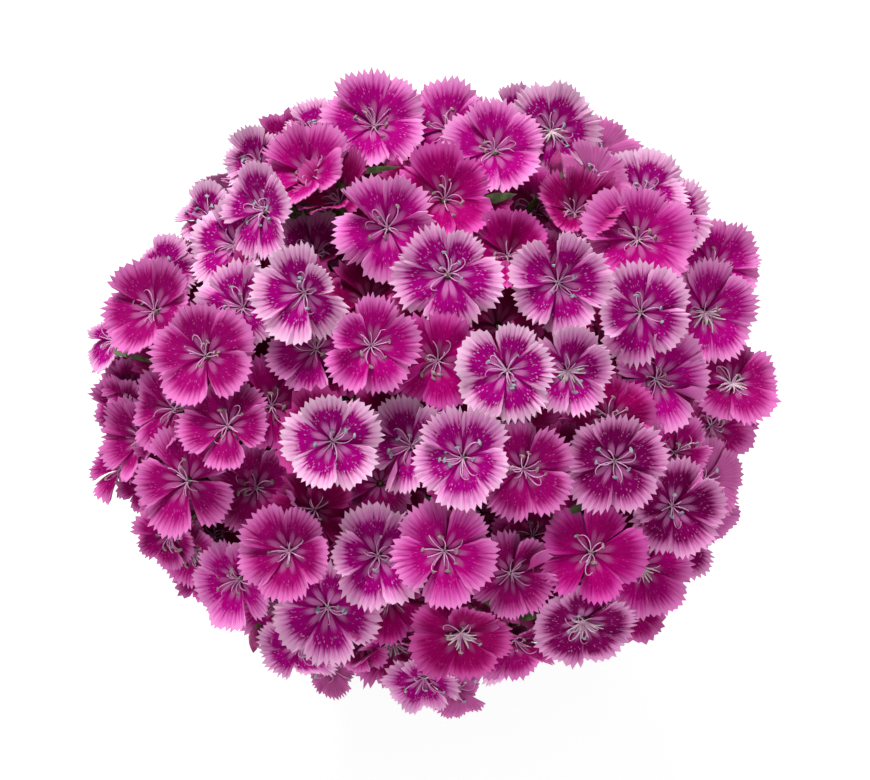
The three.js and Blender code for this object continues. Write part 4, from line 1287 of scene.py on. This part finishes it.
def styles_of(floret, draw):
    """Routes of a floret's two styles, each curled over."""
    share = np.linspace(0, 1, STYLE_POINTS)
    for hand in (0.0, STYLE_APART):
        bearing = FULL_TURN * draw() + hand
        curl = share * (2.2 + 1.6 * draw())
        out = 0.2 + 6.0 * np.sin(curl * 0.62)
        rise = 0.3 + 5.0 * share - 3.0 * share**3
        route = floret.around(out, bearing + 0.5 * share**2, rise)
        yield route, FILAMENT_RADIUS * np.linspace(1.2, 0.6, STYLE_POINTS)


def stamens_piece(head, members):
    """The stamens and the two curled styles of each open floret of a head, and the pale tufts."""
    routes, tufts = [], []
    pouches = Heap()
    for floret in members:
        if floret.inner:
            continue
        draw = seeded(STAMEN_SEED + floret.index)
        filaments, anthers = stamens_of(floret, draw)
        routes += [*filaments, *styles_of(floret, draw)]
        *_, tan = TINTS[floret.tint]
        for points in anthers:
            pouches.add(points, ANTHER[1], material=0 if tan else 1)
        if floret.index in PALE_TUFTS:
            tufts += pale_tuft(floret)
    threads = [tubes("threads", routes, "filament", 0)]
    if tufts:
        threads.append(tubes("tufts", tufts, "filament_pale", 0))
    heads = smoothed(pouches.piece("pouches", ("anther_tan", "anther_grey")), 80)
    return finished(joined(f"stamens_{head + 1:02d}", *threads, heads), "petals")


# ---------------------------------------------------------------- calyces, stalks and bracts

HUB_LEVELS, HUB_RADII = (-6, -3, 0, 3, 5), (2.3, 3.4, 3.9, 3.2, 0.6)
CALYX_DEPTHS, CALYX_RADII = (0.9, 3.0, 8.0, 13.5, CALYX_LENGTH), (1.5, 2.0, 2.15, 1.9, 1.35)
STALK_SHARES, STALK_RADII = (0.12, 0.35, 0.68, 1.0), (STALK_RADIUS, 1.05, 1.05, 1.2)
BUD_DEPTHS, BUD_RADII = (0.0, 2.0, 6.0, 10.0, 13.0), (1.75, 2.1, 2.2, 1.8, 1.2)
BUD_STALK_RADII = (1.0, 1.2)
BUD_PETALS = ((-1.5, 1.5), (0.5, 1.9), (2.5, 2.0), (4.5, 1.5), (6.0, 0.8), (7.0, 0.1))
BUD_SIDES = 15
BUD_RIDGES, BUD_RIDGE, BUD_TWIST = 3, 0.16, 0.9
BRACTS = 4
BRACT_LENGTH, BRACT_LENGTH_SPREAD = 9.0, 6.0
# Length, width, thickness and curve of the teeth round a calyx and round a bud's
CALYX_TOOTH = (4.6, 1.5, 0.35, -0.5)
BUD_TOOTH = (4.8, 1.7, 0.35, 0.4)
BRACT_SEED = 5000
SUNK = 4.5  # how far leaf tips and buds lie under the dome
LEANING_OUT = 0.3

# How far along a bract each ring is and how wide, then its four corners: across, and out by thickness
BLADE_RINGS = ((0.12, 0.8), (0.45, 1.0), (0.78, 0.55))
BLADE_CORNERS = ((-1, 0.35), (0, -0.5), (1, 0.35), (0, 0.5))


def blade(root, along, outward, length, width, thick, curve):
    """A narrow pointed bract, bent outward towards its tip, as closed points and faces."""
    along = unit(along)
    side = unit(np.cross(along, outward))
    face = np.cross(side, along)
    points = [root]
    for share, wide in BLADE_RINGS:
        middle = root + along * (length * share) - face * (curve * share * share)
        for a, b in BLADE_CORNERS:
            points.append(middle + side * (a * width * wide / 2) + face * (b * thick))
    points.append(root + along * length - face * curve)
    corners, tip = len(BLADE_CORNERS), len(points) - 1
    faces = [(0, 1 + (k + 1) % corners, 1 + k) for k in range(corners)]
    faces += ring_faces(1, corners) + ring_faces(1 + corners, corners)
    last = tip - corners
    faces += [(last + k, last + (k + 1) % corners, tip) for k in range(corners)]
    return np.array(points), faces


def pointing(across, up, bearing):
    """A place just under the florets and a direction along the layout plane that leans out."""
    place = onto_dome(across, up)
    place = place + unit(place - EYE) * SUNK
    turn = math.radians(bearing)
    return place, unit(RIGHT * math.cos(turn) + UP * math.sin(turn) + TOWARD * LEANING_OUT)


def sprigs_of(head):
    for across, up, bearing, length, width in SPRIGS:
        middle, along = pointing(across, up, bearing)
        if head_near(middle) == head:
            yield middle - along * length / 2, along, length, width


def buds_of(head):
    for across, up, bearing in BUDS:
        mouth, along = pointing(across, up, bearing)
        if head_near(mouth) == head:
            side = unit(np.cross(along, UP + RIGHT))
            yield mouth, along, side, np.cross(along, side)


def calyx_of(floret, hub, heap):
    """Gathers a floret's calyx teeth and bracts, and gives the route of its tube and stalk."""
    draw = seeded(BRACT_SEED + floret.index)
    normal = floret.normal
    tube = [floret.place - normal * d for d in CALYX_DEPTHS]
    foot = tube[-1]
    stalk = [foot + (hub.centre - foot) * s - normal * 5 * s * (1 - s) for s in STALK_SHARES]
    for k in range(PETALS):
        spread = floret.spread((k + 0.5) * SECTOR)
        root = floret.place - normal * 4.2 + spread * 1.75
        heap.add(*blade(root, normal + spread * 0.35, spread, *CALYX_TOOTH))
    for k in range(BRACTS):
        spread = floret.spread((k + draw()) * 2 * math.pi / BRACTS)
        length = BRACT_LENGTH + BRACT_LENGTH_SPREAD * draw()
        heap.add(*blade(foot + spread, normal + spread * 0.3, spread, length, 1.6, 0.4, 2.0 * draw()))
    return tube + stalk, CALYX_RADII + STALK_RADII


def greens_piece(head, members):
    """The calyx tubes with their teeth and bracts, the stalks, and the hub they join."""
    hub = hubs[head]
    heap = Heap()
    routes = [([hub.centre + hub.along * level for level in HUB_LEVELS], HUB_RADII)]
    routes += [calyx_of(floret, hub, heap) for floret in members]
    for root, along, length, width in sprigs_of(head):
        away = unit(root - EYE)
        routes.append(([root, root + away * 5 - along * 4, hub.centre], (0.8, 1.0, 1.2)))
        heap.add(*blade(root, along, -away, length, width, 0.5, 0.14 * length))
    for mouth, along, side, other in buds_of(head):
        tube = [mouth - along * d for d in BUD_DEPTHS]
        routes.append((tube + [tube[-1] - along * 5, hub.centre], BUD_RADII + BUD_STALK_RADII))
        for k in range(PETALS):
            spread = side * math.cos(k * SECTOR) + other * math.sin(k * SECTOR)
            heap.add(*blade(mouth - along * 2.5 + spread * 1.8, along, spread, *BUD_TOOTH))
    stalks = tubes("stalks", routes, "calyx", 2)
    bracts = smoothed(heap.piece("bracts", ("bract",)), 50)
    return finished(joined(f"calyces_{head + 1:02d}", stalks, bracts), "leaves")


def buds_piece(head):
    """The rolled petals that stand out of each closed bud, twisted to a point."""
    heap = Heap()
    turn = 2 * math.pi * np.arange(BUD_SIDES) / BUD_SIDES
    last = (len(BUD_PETALS) - 1) * BUD_SIDES
    faces = [face for first in range(0, last, BUD_SIDES) for face in ring_faces(first, BUD_SIDES)]
    faces += [tuple(range(BUD_SIDES))[::-1], tuple(range(last, last + BUD_SIDES))]
    for mouth, along, side, other in buds_of(head):
        points = []
        for k, (height, radius) in enumerate(BUD_PETALS):
            ridge = radius * (1 + BUD_RIDGE * np.cos(BUD_RIDGES * turn + BUD_TWIST * k))
            flat = (ridge * np.cos(turn))[:, None] * side + (ridge * np.sin(turn))[:, None] * other
            points.append(mouth + along * height + flat)
        heap.add(np.concatenate(points), faces)
    if heap.count:
        finished(smoothed(heap.piece(f"buds_{head + 1:02d}", ("bud",)), 50), "petals")


# ---------------------------------------------------------------- stems and leaves

LEAF_ROWS = 13
LEAF_COLUMNS = 7
LEAF_THICKNESS = 0.7
LEAF_GUTTER = 0.35
# The height of each pair of filling leaves above the ground, for each ring of heads
FILLING_LEVELS = ((118, 128, 146, 156), (96, 110, 132, 144), (85, 94, 105, 116, 126))
FILLING_BELOW_TOP = 6.0
FILLING_TURN, FILLING_SCATTER = 0.7, 0.5
FILLING_LENGTH, FILLING_LENGTH_SPREAD = 30.0, 16.0
FILLING_WIDTH, FILLING_WIDTH_SPREAD = 8.0, 4.0
FILLING_LIFT, FILLING_LIFT_SPREAD = 0.45, 0.55
SHORTEST_FILLING = 14.0
FRONT_REACH, SIDE_REACH = 68.0, 88.0  # how far from the pot's middle a filling leaf may reach
REACH_TESTED = 0.92
STEM_TAPER = 0.22
NODE_SWELLING = 0.7
NODE_LENGTH = 1.6
STEM_POINTS = 40
STEM_SEED = 1500


def leaf_sheet(root, heading, length, draw, width=LEAF_WIDTH, lift=LEAF_LIFT, drop=LEAF_DROP):
    """A lance-shaped blade that arches out, with a sunk midrib and a slight wave."""
    t = np.linspace(0.02, 1, LEAF_ROWS)[:, None]
    s = np.linspace(-1, 1, LEAF_COLUMNS)[None, :]
    share = np.sin(np.pi * t**0.75) ** 0.62
    share[-1] = 0.02
    half = (width / 2) * share * min(length / LEAF_LENGTH + LEAF_NARROWING, 1)
    out = length * t * (1 - LEAF_FORESHORTENING * t) + 0 * s
    wave = 0.6 * np.sin(5 * t + FULL_TURN * draw()) * np.abs(s)
    rise = length * (lift * t - drop * t * t) + half * LEAF_GUTTER * np.abs(s) ** 1.3 + wave * share
    way = level_way(heading)
    points = root + out[..., None] * way + (half * s)[..., None] * np.cross(UPRIGHT, way)
    points = points + rise[..., None] * UPRIGHT
    uv = np.stack(np.broadcast_arrays((s + 1) / 2, t), axis=-1)
    return points, uv


def leaves_of(hub, index):
    """A stem's opposite pairs of leaves, as (root, heading, length)."""
    draw = seeded(LEAF_SEED + index)
    leaves = []
    for k, level in enumerate(hub.leaf_levels):
        root = hub.stem_at_height(level + hub.step * LEAF_STEP)
        across_stem = k % 2 == 0 if hub.outer else True
        for hand in (-1, 1):
            swing = hand * LEAF_SWING if across_stem else (1 - hand) * math.pi / 2
            heading = hub.turn + swing + LEAF_SCATTER * (draw() - 0.5)
            frontness = max(-math.sin(heading), 0)
            outward = across_stem or hand > 0
            share = 1 - FRONT_LEAF_SHORTER * frontness if outward else INWARD_LEAF_SHARE
            if not hub.outer:
                share = INNER_LEAF_SHARE
            length = LEAF_LENGTH * share * (LEAF_LENGTH_LEAST + LEAF_LENGTH_SPREAD * draw())
            leaves.append((root, heading, length))
    return leaves


def filling_leaves(hub, draw):
    """Narrower leaves between the main pairs, as (root, heading, length, width, lift, drop)."""
    top = hub.handles[-1][2] - FILLING_BELOW_TOP
    leaves = []
    for k, level in enumerate(FILLING_LEVELS[hub.ring]):
        if level > top:
            continue
        root = hub.stem_at_height(level + 2 * draw())
        for hand in (0, 1):
            heading = hub.turn + FILLING_TURN + k * math.pi / 2 + hand * math.pi
            heading = heading + FILLING_SCATTER * (draw() - 0.5)
            length = FILLING_LENGTH + FILLING_LENGTH_SPREAD * draw()
            width = FILLING_WIDTH + FILLING_WIDTH_SPREAD * draw()
            lift = FILLING_LIFT + FILLING_LIFT_SPREAD * draw()
            way = level_way(heading)
            frontness = max(-way[1], 0)
            limit = SIDE_REACH + (FRONT_REACH - SIDE_REACH) * frontness
            while length > SHORTEST_FILLING:
                if np.linalg.norm((root + way * length * REACH_TESTED)[:2]) <= limit:
                    break
                length *= 0.9
            leaves.append((root, heading, length, width, lift, 0.3 + 0.5 * lift))
    return leaves


def stem_radius(t, height, nodes):
    """A stem's radius, which tapers and swells where leaves are joined to it."""
    swelling = sum(math.exp(-((height - node) / NODE_LENGTH) ** 2) for node in nodes)
    return STEM_RADIUS * (1 - STEM_TAPER * t) + NODE_SWELLING * swelling


def leafy_stem_piece(index):
    hub = hubs[index]
    draw = seeded(STEM_SEED + index)
    leaves = leaves_of(hub, index) + filling_leaves(hub, draw)
    nodes = {root[2] for root, *_ in leaves}
    shares = np.linspace(0, 1, STEM_POINTS)
    route = [hub.stem_point(t) for t in shares]
    radii = [stem_radius(t, point[2], nodes) for t, point in zip(shares, route)]
    stem = tubes("stem", [(route, radii)], "stem", 3)
    heap = Heap()
    for root, heading, length, *shape in leaves:
        points, uv = leaf_sheet(root, heading, length, draw, *shape)
        heap.add(points, sheet_faces(LEAF_ROWS, LEAF_COLUMNS), uv=uv)
    blades = smoothed(walled(heap.piece("blades", ("leaf",), "leaf"), LEAF_THICKNESS, 0), 50)
    name = f"leafy_stem_{index + 1:02d}"
    return finished(joined(f"foliage_{index + 1:02d}", stem, blades), "leaves", name)


for head in range(len(hubs)):
    members = [floret for floret in florets if floret.head == head]
    petals_piece(head, members)
    stamens_piece(head, members)
    greens_piece(head, members)
    buds_piece(head)
    leafy_stem_piece(head)


# ---------------------------------------------------------------- pot and soil

POT_SIDES = 96
LIP_ROUNDING = 0.6
EDGE_ROUNDING = 0.35
DRILL_SIDES = 32


def outer_wall(height):
    """The pot wall's outside radius at a height, below the rim band."""
    return POT_BASE_RADIUS + (POT_RIM_RADIUS - POT_RIM_STEP - POT_BASE_RADIUS) * height / POT_HEIGHT


def thrown(name, sides, levels):
    """A round body drawn up from a filled circle through (radius, height) levels."""
    bpy.ops.object.select_all(action="DESELECT")
    radius, height = levels[0]
    bpy.ops.mesh.primitive_circle_add(
        vertices=sides, radius=radius * MM, fill_type="NGON", location=(0, 0, height * MM))
    made = bpy.context.view_layer.objects.active
    bpy.ops.object.transform_apply(location=True)
    bpy.ops.object.mode_set(mode="EDIT")
    bpy.ops.mesh.select_mode(type="FACE")
    bpy.ops.mesh.select_all(action="SELECT")
    for next_radius, next_height in levels[1:]:
        bpy.ops.mesh.extrude_region_move(
            TRANSFORM_OT_translate={"value": (0, 0, (next_height - height) * MM)})
        scale = next_radius / radius
        bpy.ops.transform.resize(value=(scale, scale, 1), center_override=(0, 0, 0))
        radius, height = next_radius, next_height
    bpy.ops.mesh.select_all(action="SELECT")
    bpy.ops.mesh.normals_make_consistent(inside=False)
    bpy.ops.object.mode_set(mode="OBJECT")
    made.name = made.data.name = name
    return made


def make_pot():
    """The pot with its stepped rim band, rounded lip and drain holes."""
    band_foot = POT_HEIGHT - POT_RIM_BAND
    step_out = outer_wall(band_foot)
    inside = POT_RIM_RADIUS - POT_WALL
    pot = thrown("nursery_pot", POT_SIDES, (
        (POT_BASE_RADIUS - 3, 0), (POT_BASE_RADIUS, 0), (outer_wall(8), 8), (step_out, band_foot - 0.4),
        (step_out + POT_RIM_STEP - 0.3, band_foot), (POT_RIM_RADIUS - 0.5, POT_HEIGHT - 2.4),
        (POT_RIM_RADIUS, POT_HEIGHT - 1.6), (POT_RIM_RADIUS, POT_HEIGHT - LIP_ROUNDING),
        (POT_RIM_RADIUS - LIP_ROUNDING, POT_HEIGHT), (inside + 0.4, POT_HEIGHT), (inside, POT_HEIGHT - 0.5),
        (outer_wall(40) - POT_WALL, 40), (outer_wall(POT_FLOOR) - POT_WALL, POT_FLOOR), (4, POT_FLOOR)))
    bpy.ops.object.select_all(action="DESELECT")
    drills = []
    for k in range(DRAIN_HOLES):
        place = level_way(2 * math.pi * k / DRAIN_HOLES) * (DRAIN_RING_RADIUS * MM)
        bpy.ops.mesh.primitive_cylinder_add(
            vertices=DRILL_SIDES, radius=DRAIN_RADIUS * MM, depth=POT_FLOOR * 3 * MM, location=place)
        drills.append(bpy.context.view_layer.objects.active)
    drill = joined("drill", *drills)
    cut = pot.modifiers.new("drain", "BOOLEAN")
    cut.operation = "DIFFERENCE"
    cut.object = drill
    edge = pot.modifiers.new("edges", "BEVEL")
    edge.width = EDGE_ROUNDING * MM
    edge.segments = 2
    edge.limit_method = "ANGLE"
    edge.angle_limit = math.radians(35)
    applied(pot, "drain", "edges")
    bpy.data.objects.remove(drill)
    pot.data.materials.append(MATERIALS["pot"])
    finished(smoothed(pot, 40), "pot", "pot")


SOIL_MATERIALS = ("soil", "bark", "perlite")
CRUMB_MATERIALS = (0, 0, 0, 1, 0, 2, 0, 1)  # of eight crumbs, which are soil, bark and perlite
CRUMBS = 620
CRUMB_SEED = 41
MOUND_SIDES = 72
MOUND_RINGS = 10
MOUND_STEP = 0.09
MOUND_ROUNDING = 1.55
MOUND_LIFT = 1.1
MOUND_ROUGHNESS = 1.1
MOUND_GRAIN = 160.0


def make_soil():
    """A low crumbly mound with bits of bark and perlite on it."""
    wall = POT_WALL + SOIL_WALL_GAP
    edge = POT_HEIGHT - SOIL_BELOW_RIM
    foot = POT_FLOOR + FIT_GAP
    rim = outer_wall(edge) - wall
    levels = [(outer_wall(foot) - wall, foot), (rim, edge - 1)]
    for inward in (MOUND_STEP * k for k in range(1, MOUND_RINGS + 1)):
        rise = MOUND_LIFT + SOIL_DOME * math.sin(inward * MOUND_ROUNDING)
        levels.append((rim * (1 - inward), edge - 1 + rise))
    mound = thrown("potting_soil", MOUND_SIDES, levels)
    for vertex in mound.data.vertices:
        if vertex.co.z > (edge - 0.5) * MM:
            vertex.co.z += MOUND_ROUGHNESS * MM * noise.noise(vertex.co * MOUND_GRAIN)
    for material in SOIL_MATERIALS:
        mound.data.materials.append(MATERIALS[material])
    draw = seeded(CRUMB_SEED)
    points, faces = stretched(
        bpy.ops.mesh.primitive_ico_sphere_add, (1.0, 0.8, 0.65), subdivisions=1, radius=1.0)
    heap = Heap()
    for k in range(CRUMBS):
        out = (rim - 2) * math.sqrt(draw())
        turn = 2 * math.pi * draw()
        size = 0.6 + 1.7 * draw() ** 2
        height = edge + SOIL_DOME * math.sin(MOUND_ROUNDING * (1 - out / rim)) + 0.3 * size - 0.2
        place = out * level_way(turn) + height * UPRIGHT
        uneven = 1 + 0.3 * np.sin(points * 7 + k)
        spun = np.array([[math.cos(k), -math.sin(k), 0], [math.sin(k), math.cos(k), 0], [0, 0, 1]])
        material = CRUMB_MATERIALS[k % len(CRUMB_MATERIALS)]
        heap.add(place + size * (points * uneven) @ spun, faces, material)
    crumbs = heap.piece("crumbs", SOIL_MATERIALS)
    finished(joined("potting_soil", mound, crumbs), "soil", "soil")


make_pot()
make_soil()


# ---------------------------------------------------------------- floor

FLOOR_WIDTH = 16000.0
FLOOR_GLOW = 0.8


def make_floor():
    """A white floor that glows a little, so that shadows on it stay faint."""
    bpy.ops.object.select_all(action="DESELECT")
    bpy.ops.mesh.primitive_plane_add(size=FLOOR_WIDTH * MM)
    floor = bpy.context.view_layer.objects.active
    floor.name = "floor"
    made = Finish("floor_paint", 0.8, specular=0.2)
    cloud = made.noise(made.object_place(), 3.0)
    paint = made.mix(cloud, linear((164, 164, 164)), linear((170, 170, 170)))
    floor.data.materials.append(made.colour(paint))
    made.shader.inputs["Emission Color"].default_value = (1.0, 1.0, 1.0, 1)
    made.shader.inputs["Emission Strength"].default_value = FLOOR_GLOW


make_floor()
